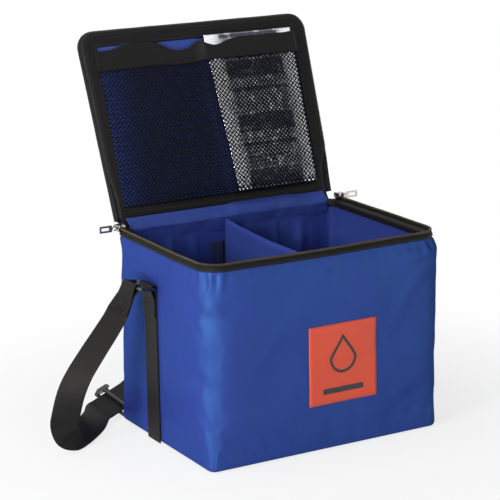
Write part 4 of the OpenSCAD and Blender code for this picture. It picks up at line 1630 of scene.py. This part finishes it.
@dataclass
class Hinge:
    """The cloth that joins the lid to the back of the bag, inside, outside and at the two corners."""

    finishes: Finishes
    inner_half: float = 0.137
    outer_half: float = 0.130
    corner_half: float = 0.0050
    corner_x: float = 0.1372
    start: Point = (0, BAG.hinge_y, BAG.hinge_z - 6 * MM)
    end: Point = (0, BAG.hinge_y, BAG.hinge_z + 6 * MM)

    def strip(self, name: str, line: Callable[[float], Sequence[Point]], half: Callable[[float], float], finish: str,
              thick: float, middle: float, folds: float) -> bpy.types.Object:
        """Builds one strip from the bag to the lid, shaped for the lid at rest.

        Args:
            name: name of the piece.
            line: its section from the bag to the lid at an x, as points.
            half: its half width at a share of its length.
            finish: its finish.
            thick: its thickness.
            middle: x of its middle.
            folds: height of its folds, in millimetres.

        Returns:
            The piece.
        """
        count, steps = 100, 26
        sheet = Sheet([[] for i in range(steps + 1)], [[] for i in range(steps + 1)])
        for j in range(count + 1):
            across = -1 + 2 * j / count
            section = line(middle + half(0.5) * across)
            run = distances(section)
            p = np.array(section, float)
            for i in range(steps + 1):
                t = i / steps
                x = middle + half(t) * across
                x += LID.lean(x, 0.0, 0.005) * t
                y, z = (float(np.interp(t * run[-1], run, p[:, k])) for k in (1, 2))
                calm = math.sin(math.pi * t)
                fold = ripple(x, t * 0.03, 0.2, 26) + 0.5 * ripple(x * 1.2, t * 0.05, 1.2, 60)
                high = folds * MM * calm * fold
                sheet.rows[i].append((x, y + high, z + 0.3 * high))
                sheet.laid[i].append((x, t * run[-1]))
        piece = sheet_object(name, sheet, self.finishes[finish], thick, 0.0, 1)
        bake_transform(piece)
        return piece

    def inner_line(self, x: float) -> List[Point]:
        """Finds the section of the inner strip, which reaches further up the lid right of the middle.

        Args:
            x: distance to the right of the middle.

        Returns:
            Its points from the bag to the lid.
        """
        flap = smooth_step(-0.005, 0.012, x) * smooth_step(0.110, 0.085, x)
        end = LID.place(0, 3.6 * MM + 2.2 * MM * flap, (0.2 - 0.6 * flap) * MM)
        lift = 1.6 * MM * flap
        return [(0, 0.1037, 0.2170), (0, 0.1029, 0.2240), (0, 0.1025, 0.2335),
                (0, 0.1060 - lift, 0.2385 + 0.5 * lift), (0, 0.1115 - lift, 0.2415 + lift),
                (0, 0.1160 - 0.5 * lift, 0.2450), end]

    def build(self) -> None:
        """Builds the strips."""
        inner = self.strip("hinge_inner_cloth", self.inner_line, lambda t: self.inner_half, "blue_lining",
                           0.7 * MM, 0.0, 2.0)
        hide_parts("hinge_strip")
        outside = [(0, 0.1158, 0.2240), (0, 0.1172, 0.2300), (0, 0.1210, 0.2345), (0, 0.1258, 0.2375),
                   LID.place(0, 0.004, 12.0 * MM), LID.place(0, 0.010, 12.6 * MM)]
        self.strip("hinge_outer_cloth", lambda x: outside,
                   lambda t: self.outer_half + 0.0195 * smooth_step(0.2, 0.9, t), "blue_cloth", 0.9 * MM, 0.0, 0.5)
        corner = [(0, 0.1085, 0.2320), (0, 0.1125, 0.2370), (0, 0.1155, 0.2420), LID.place(0, 0.010, 4.0 * MM),
                  LID.place(0, 0.026, 4.0 * MM)]
        for side in Side:
            self.strip(f"{side.name.lower()}_hinge_tape", lambda x: corner, lambda t: self.corner_half,
                       "black_tape", 1.6 * MM, side.value * self.corner_x, 0.2)


# ---------------------------------------------------------------- divider and strap


@dataclass
class Divider:
    """The padded board between the two compartments."""

    finishes: Finishes
    x: float = -0.018
    skew: float = 0.085
    half_t: float = 0.0036
    half_l: float = 0.1005
    low: float = 0.0135
    top: float = 0.2293
    edge: float = 0.0045
    lean: float = 7 * MM

    def face_point(self, a: float, b: float, side: int) -> Point:
        """Finds a point of one of its puffed faces.

        Args:
            a: share of its length, from the front.
            b: share of its height, from below.
            side: 1 for the right face and -1 for the left one.

        Returns:
            The point.
        """
        y, z = -self.half_l + 2 * self.half_l * a, self.low + (self.top - self.low) * b
        t = min(1.0, min(self.half_l - abs(y), z - self.low, self.top - z) / self.edge)
        swell = 1.5 * MM * (1 - (2 * a - 1) ** 4) * (1 - (2 * b - 1) ** 4) + 0.5 * MM * ripple(y, z, side, 30) * t
        peak = 1.2 * MM * b * smooth_step(0.05, 0.1005, y) ** 2
        bow = self.skew * y + 1.5 * MM * ripple(y, z, 0.5, 9) + self.lean * b ** 2 * smooth_step(0.0, -0.1, y)
        half = (self.half_t + swell) * math.sqrt(max(0.0, 1 - (1 - t) ** 2))
        return (self.x + bow + side * (0.25 * MM + half), y, z + peak)

    def build(self) -> None:
        """Builds the board as two faces that meet in rounded edges."""
        along, up = 60, 56
        shares = [(0.5 - 0.5 * math.cos(math.pi * j / along), 0.5 - 0.5 * math.cos(math.pi * i / up))
                  for i in range(up + 1) for j in range(along + 1)]
        points = [self.face_point(a, b, side) for side in (1, -1) for a, b in shares]
        laid = [(-self.half_l + 2 * self.half_l * a, self.low + (self.top - self.low) * b) for a, b in shares] * 2
        made = make_object("divider_panel", points, pillow_faces(along, up), self.finishes["blue_lining"], laid)
        fit(made, Body.DIVIDER, "blue_lining", "divider_cover", "divider_board")


@dataclass
class Strap:
    """The shoulder strap with its sewn ends and the side webbing."""

    finishes: Finishes
    half: float = 0.0162
    thick: float = 1.8 * MM
    sewn_thick: float = 1.7 * MM
    strap_y: float = 0.024
    sewn_y: float = 0.0215
    sewn_half: float = 0.0155
    loop_r: float = 3.2 * MM
    twist: float = math.radians(24)
    ring_x: float = 0.1568
    ring_z: float = 0.187
    ring_tilt: float = math.radians(10)
    ring_l: float = 0.020
    fall: float = math.radians(58)
    end_l: float = 0.034
    end_reach: float = 0.0345
    # The straight line through the adjuster: its start in millimetres, its heading, where the adjuster sits
    # from that start in millimetres, and the webbing's bank there in degrees.
    line_start: Flat = (-175.5, 115.0)
    heading: float = math.radians(36.87)
    adjuster_at: Point = (34 * 0.8, 34 * 0.6, 15.6)
    bank: float = 30.0
    # Height of the webbing's middle where it lies on the ground, in millimetres.
    ground: float = 1.9

    def bar(self) -> Tuple[float, float]:
        """Returns x and z of the ring's outer bar."""
        return (self.ring_x + self.ring_l * math.cos(self.ring_tilt),
                self.ring_z + self.ring_l * math.sin(self.ring_tilt))

    def leave(self) -> Tuple[float, float]:
        """Returns x and z where the free webbing starts."""
        x, z = self.bar()
        return (x + self.end_reach * math.cos(self.fall), z - self.end_reach * math.sin(self.fall))

    def bends(self) -> List[Tuple[Sequence[float], Sequence[float]]]:
        """Lists the places that the strap goes through, from the left ring round to the right one.

        Returns:
            Each place, in millimetres, with the way that the webbing's width faces there.
        """
        x, z = (v / MM for v in self.leave())
        c, k = math.cos(self.fall), math.sin(self.fall)
        heading, lay = self.heading, self.ground
        ahead = np.array((math.cos(heading), math.sin(heading), 0))

        def banked(degrees: float) -> Point:
            """Returns the way the width faces where the webbing lies banked along the adjuster's line."""
            bank = math.radians(degrees)
            return (math.sin(heading) * math.cos(bank), -math.cos(heading) * math.cos(bank), -math.sin(bank))

        lift = 24.4 * math.sin(math.radians(self.bank)) + 3.6 * math.cos(math.radians(self.bank)) + 0.3
        start = np.array((*self.line_start, lift))
        return [
            ((-x + 12 * c, 24, z + 12 * k), (-0.28, 0.96, -0.1)), ((-x, 24, z), (-0.41, 0.91, 0)),
            ((-x - 10 * c, 24, z - 10 * k), (-0.48, 0.88, 0)), ((-211.5, 24, 138), (-0.55, 0.83, 0)),
            ((-227, 24, 119), (-0.6, 0.8, 0)), ((-244.5, 25, 95), (-0.65, 0.76, 0)),
            ((-254.5, 28, 73), (-0.75, 0.66, 0)), ((-259, 34, 48), (-0.85, 0.5, -0.05)),
            ((-260, 38, 33), (-0.85, 0.45, -0.35)), ((-255.5, 38, 20), (-0.55, 0.25, -0.8)),
            ((-245, 38.5, 17), (0.0, -0.1, -1)), ((-232, 49.5, 17.2), banked(65)), ((-217, 65, 16.5), banked(55)),
            ((-200, 86, 15), banked(40)), *((start + d * ahead, banked(self.bank)) for d in (-12, 0, 24, 48, 72, 90)),
            ((-78, 181, 7), (0.35, -0.9, -0.25)), ((-45, 190, lay), (0.1, -0.99, 0)), ((0, 192, lay), (0, -1, 0)),
            ((50, 189, lay), (-0.1, -0.99, 0)), ((95, 180, 5), (-0.3, -0.93, -0.15)),
            ((135, 160, 7), (-0.52, -0.82, -0.25)), ((165, 130, 6.4), (-0.74, -0.64, -0.2)),
            ((188, 96, lay), (-0.86, -0.5, 0)), ((200, 74, lay + 0.8), (-0.87, -0.49, 0)),
            ((209, 58, 12), (-0.86, -0.5, 0)), ((213, 50, 34), (-0.83, -0.55, 0)), ((214, 44, 66), (-0.75, -0.66, 0)),
            ((212, 37, 98), (-0.6, -0.8, 0)), ((206, 24, 134), (-0.4, -0.92, 0)),
            ((x + 10 * c, 24, z - 10 * k), (-0.35, -0.94, 0)), ((x, 24, z), (-0.41, -0.91, 0)),
            ((x - 12 * c, 24, z + 12 * k), (-0.28, -0.96, 0.1))]

    def route(self, steps: int = 8) -> Tuple[np.ndarray, np.ndarray]:
        """Draws a smooth curve through the bends.

        Args:
            steps: from one place to the next.

        Returns:
            The points of the middle line, and the way that the width faces at each.
        """
        bends = self.bends()
        made = []
        for src in (np.array([b[0] for b in bends], float) * MM, np.array([b[1] for b in bends], float)):
            line = []
            for i in range(len(src) - 1):
                a, b, c, d = (src[max(0, min(len(src) - 1, i + m))] for m in (-1, 0, 1, 2))
                for t in (k / steps for k in range(steps + (i == len(src) - 2))):
                    line.append(0.5 * (2 * b + (c - a) * t + (2 * a - 5 * b + 4 * c - d) * t * t
                                       + (3 * b - a - 3 * c + d) * t ** 3))
            made.append(np.array(line))
        return made[0], made[1]

    def ribbon(self, name: str, p: np.ndarray, w: np.ndarray, half: float, thick: float) -> bpy.types.Object:
        """Sweeps the webbing's section along a line.

        Args:
            name: name of the piece.
            p: points of the middle line.
            w: the way the width faces at each.
            half: half width.
            thick: thickness.

        Returns:
            The piece.
        """
        ahead = np.gradient(p, axis=0)
        ahead /= np.linalg.norm(ahead, axis=1)[:, None]
        section = [(-1, 0), (-0.985, 0.62), (-0.93, 1), (-0.80, 0.92), (-0.5, 0.98), (0, 1), (0.5, 0.98),
                   (0.80, 0.92), (0.93, 1), (0.985, 0.62), (1, 0), (0.985, -0.62), (0.93, -1), (0.80, -0.92),
                   (0, -1), (-0.80, -0.92), (-0.93, -1), (-0.985, -0.62)]
        sheet = Sheet(wrap=True)
        for at, width, along, d in zip(p, w, ahead, distances(p)):
            side = unit(width - (width @ along) * along)
            up = np.cross(along, side)
            sheet.add([tuple(at + a * half * side + b * thick / 2 * up) for a, b in section],
                      [(a * half, d) for a, b in section])
        count, last = len(section), len(section) * (len(p) - 1)
        caps = [tuple(range(count)), tuple(last + k for k in range(count - 1, -1, -1))]
        return sheet_object(name, sheet, self.finishes["black_webbing"], caps=caps, flip=True)

    def free_webbing(self) -> None:
        """Builds the free webbing, in two pieces that meet inside the adjuster."""
        p, w = self.route()
        meet = (np.array((*self.line_start, 0.0)) + self.adjuster_at) * MM
        cut = int(np.argmin(np.linalg.norm(p - meet, axis=1)))
        for side, ring, part in ((Side.LEFT, Body.LEFT_RING, slice(0, cut + 1)),
                                 (Side.RIGHT, Body.RIGHT_RING, slice(cut, len(p)))):
            piece = self.ribbon(f"strap_{side.name.lower()}", p[part], w[part], self.half, self.thick)
            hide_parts("shoulder_strap")
            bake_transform(piece)

    def on_end(self, side: Side, a: float, y: float, b: float) -> Point:
        """Returns a point on a strap end, which twists towards the strap's lie.

        Args:
            side: left or right.
            a: distance down from the ring's bar.
            y: distance across the webbing.
            b: height out of its middle.

        Returns:
            The point.
        """
        bx, bz = self.bar()
        c, k = math.cos(self.fall), math.sin(self.fall)
        turn = self.twist * smooth_step(0.005, 0.036, a)
        ahead = np.array((side.value * c, 0.0, -k))
        wide = unit(np.array((side.value * math.sin(turn), math.cos(turn), 0.0))
                    - ahead * side.value * math.sin(turn) * side.value * c)
        up = np.cross(ahead, wide) * -side.value
        middle = np.array((side.value * (bx + a * c), self.strap_y, bz - a * k))
        return tuple(middle + y * wide + b * up)

    def sewn_end(self, side: Side, ring: Body) -> None:
        """Builds the strap end round a ring, with its box of stitches.

        Args:
            side: left or right.
            ring: the ring's body.
        """
        r, near, far, wide = self.loop_r, 0.013, 0.0325, 0.8
        arc = [math.radians(a) for a in range(-70, -300, -20)]
        lower = [(self.end_l, 0.92 * MM), (0.020, 0.95 * MM), (0.012, 1.3 * MM), (0.006, 2.3 * MM)]
        line = [(a, -b) for a, b in lower] + [(r * math.cos(a), r * math.sin(a)) for a in arc] + lower[::-1]
        p = np.array([self.on_end(side, a, 0.0, b) for a, b in line])
        w = np.array([self.on_end(side, a, 1.0, 0.0) for a, b in line])
        w -= np.array([self.on_end(side, a, 0.0, 0.0) for a, b in line])
        name = f"{side.name.lower()}_sewn_end"
        piece = self.ribbon(name, p, w, self.half, self.sewn_thick)
        gather = Gather()
        box = [(near, -wide), (far, -wide), (far, wide), (near, wide), (near, -wide)]
        rows = list(zip(box, box[1:])) + [(box[0], box[2]), (box[3], box[1])]
        for face in (1, -1):
            for start, end in rows:
                path, outs = [], []
                for a, y in between(start, end, 12):
                    high = float(np.interp(a, (0.012, 0.020), (2.2 * MM, 1.85 * MM)))
                    path.append(self.on_end(side, a, y * self.half, face * high))
                    out = np.array(self.on_end(side, a, 0.0, float(face)))
                    outs.append(unit(out - self.on_end(side, a, 0.0, 0.0)))
                stitches(gather, path, outs, 2.4 * MM, 0.9 * MM, 0.5 * MM)
        fit(piece, ring, "black_webbing", f"{side.name.lower()}_strap_end")
        fit(gather.make(name + "_stitches", self.finishes["thread_black"]), ring, "black_webbing")

    def side_webbing(self, side: Side) -> None:
        """Builds the webbing that is sewn up a side and folded round its ring.

        Args:
            side: left or right.
        """
        sx, r, wall = side.value, self.loop_r, self.ring_x - self.loop_r
        line = [(wall + 0.2 * MM, 0.0010 + 0.0055 * i) for i in range(31)] + [(wall, 0.178), (wall, 0.183)]
        line += [(self.ring_x - r * math.cos(math.radians(a)), self.ring_z + r * math.sin(math.radians(a)))
                 for a in range(0, 181, 20)]
        line += [(wall + out * MM, z) for out, z in ((4.6, 0.180), (2.6, 0.174), (2.0, 0.168), (2.0, 0.152))]
        p = np.array([(sx * a, self.sewn_y, b) for a, b in line])
        name = f"{side.name.lower()}_side_webbing"
        piece = self.ribbon(name, p, np.tile((0.0, 1.0, 0.0), (len(p), 1)), self.sewn_half, self.sewn_thick)
        gather, wide = Gather(), 0.8 * self.sewn_half
        for y in (-wide, wide):
            path = [(sx * (wall + 1.1 * MM), self.sewn_y + y, 0.004 + 0.146 * i / 40) for i in range(41)]
            stitches(gather, path, [(sx, 0, 0)] * len(path), 2.8 * MM, 1.1 * MM, 0.5 * MM)
        out, low, high = sx * (wall + 2.95 * MM), 0.154, 0.1665
        left, right = self.sewn_y - wide, self.sewn_y + wide
        for a, b in (((left, low), (right, low)), ((left, high), (right, high)), ((left, low), (right, high)),
                     ((right, low), (left, high))):
            path = between((out, *a), (out, *b), 12)
            stitches(gather, path, [(sx, 0, 0)] * len(path), 2.4 * MM, 0.9 * MM, 0.5 * MM)
        fit(piece, Body.BAG, "black_webbing", f"{side.name.lower()}_anchor_webbing")
        fit(gather.make(name + "_stitches", self.finishes["thread_black"]), Body.BAG, "black_webbing")

    def build(self) -> None:
        """Builds the strap and the side webbing."""
        self.free_webbing()
        self.sewn_end(Side.LEFT, Body.LEFT_RING)
        self.sewn_end(Side.RIGHT, Body.RIGHT_RING)
        for side in Side:
            self.side_webbing(side)


# ---------------------------------------------------------------- camera and light


@dataclass
class Studio:
    """The camera at the photograph's viewing angle, the lamps, the floor and the backdrop."""

    eye: Point = (-1.1071, -1.8965, 0.7696)
    yaw: float = 0.514952
    pitch: float = 0.248495
    roll: float = -0.0174726
    lens: float = 139.753

    def camera(self) -> None:
        """Makes the camera."""
        data = bpy.data.cameras.new("camera")
        data.lens, data.sensor_width, data.sensor_fit = self.lens, 36.0, "HORIZONTAL"
        data.clip_start, data.clip_end = 0.05, 50
        cam = bpy.data.objects.new("camera", data)
        bpy.context.scene.collection.objects.link(cam)
        y, p, a = self.yaw, self.pitch, self.roll
        ahead = Vector((math.sin(y) * math.cos(p), math.cos(y) * math.cos(p), -math.sin(p)))
        right = Vector((math.cos(y), -math.sin(y), 0.0))
        up = right.cross(ahead)
        right, up = right * math.cos(a) + up * math.sin(a), up * math.cos(a) - right * math.sin(a)
        turn = Matrix((right, up, -ahead)).transposed()
        cam.matrix_world = Matrix.Translation(Vector(self.eye)) @ turn.to_4x4()
        bpy.context.scene.camera = cam

    def lamp(self, name: str, at: Point, size: float, power: float, colour: Tuple[float, float, float],
             high: float = 0.0) -> None:
        """Makes a soft lamp that faces the bag.

        Args:
            name: of the lamp.
            at: its place.
            size: its side.
            power: in watts.
            colour: of its light.
            high: its height where it isn't square.
        """
        data = bpy.data.lights.new(name, "AREA")
        data.shape, data.size, data.size_y = "RECTANGLE", size, high or size
        data.energy, data.color = power, colour
        obj = bpy.data.objects.new(name, data)
        bpy.context.scene.collection.objects.link(obj)
        obj.location = at
        obj.rotation_euler = (Vector((0, 0.02, 0.18)) - Vector(at)).to_track_quat("-Z", "Y").to_euler()

    def floor(self) -> None:
        """Makes the pale floor, which is white to the camera and keeps the bag's shadow."""
        half = 14.0
        s = Shader("floor")
        s.set(Base_Color=(0.88, 0.88, 0.88, 1), Roughness=0.9, Specular_IOR_Level=0.1)
        corners = [(-half, -half, 0), (half, -half, 0), (half, half, 0), (-half, half, 0)]
        made = make_object("floor", corners, [(0, 1, 2, 3)], s.material)
        made.location.z = -0.0002
        place = s.node("SeparateXYZ", {0: s.node("TexCoord").outputs["Object"]}).outputs
        squares = [s.math("POWER", s.math("ABSOLUTE", place[k]), 2.0) for k in (0, 1)]
        away = s.math("SQRT", s.math("ADD", *squares))
        share = s.math("MULTIPLY", s.seen(), s.ramp(away, 0.22, 0.60, 0.76))
        s.end(s.mix(share, s.bsdf.outputs[0], s.node("Emission", {0: (1, 1, 1, 1), 1: 1.0}).outputs[0]))

    def world(self) -> None:
        """Makes the world: soft light on the object, white to the camera."""
        world = bpy.data.worlds.new("studio")
        bpy.context.scene.world = world
        s = Nodes(world, "OutputWorld")
        soft = s.node("Background", {0: (0.97, 0.98, 1.0, 1), 1: 0.26})
        white = s.node("Background", {0: (1, 1, 1, 1), 1: 1.0})
        s.end(s.mix(s.seen(), soft.outputs[0], white.outputs[0]))

    def build(self) -> None:
        """Builds the studio."""
        self.camera()
        self.floor()
        self.world()
        self.lamp("key", (-2.05, -0.80, 1.00), 0.7, 34, (1.0, 0.99, 0.97))
        self.lamp("low_left", (-1.05, -0.60, 0.10), 1.2, 9, (1.0, 1.0, 1.0), 0.16)
        self.lamp("low_right", (0.84, -1.10, 0.12), 0.7, 1.5, (1.0, 1.0, 1.0), 0.20)
        self.lamp("fill", (0.9, -2.3, 1.3), 1.8, 2.2, (0.97, 0.98, 1.0))
        self.lamp("top", (-0.5, 0.1, 2.4), 1.2, 15, (1.0, 1.0, 1.0))


def main() -> None:
    """Builds every piece in order and reports it."""
    logging.basicConfig(level=logging.INFO, format="%(name)s: %(message)s")
    bpy.ops.wm.read_factory_settings(use_empty=True)
    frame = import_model()
    bpy.context.scene.view_settings.view_transform = "Standard"
    Studio().build()
    finishes = Finishes()
    finishes.dress(frame["nodes"])
    for part in (BagBody, RimAndZip, Lid, NetPocket, ColdPack, Hinge, Divider, Strap):
        part(finishes).build()
    shown = [n for n, o in frame["nodes"].items() if not o.hide_render]
    LOG.info("CAD nodes that show: %s", ", ".join(sorted(shown)))


if __name__ == "__main__":
    main()
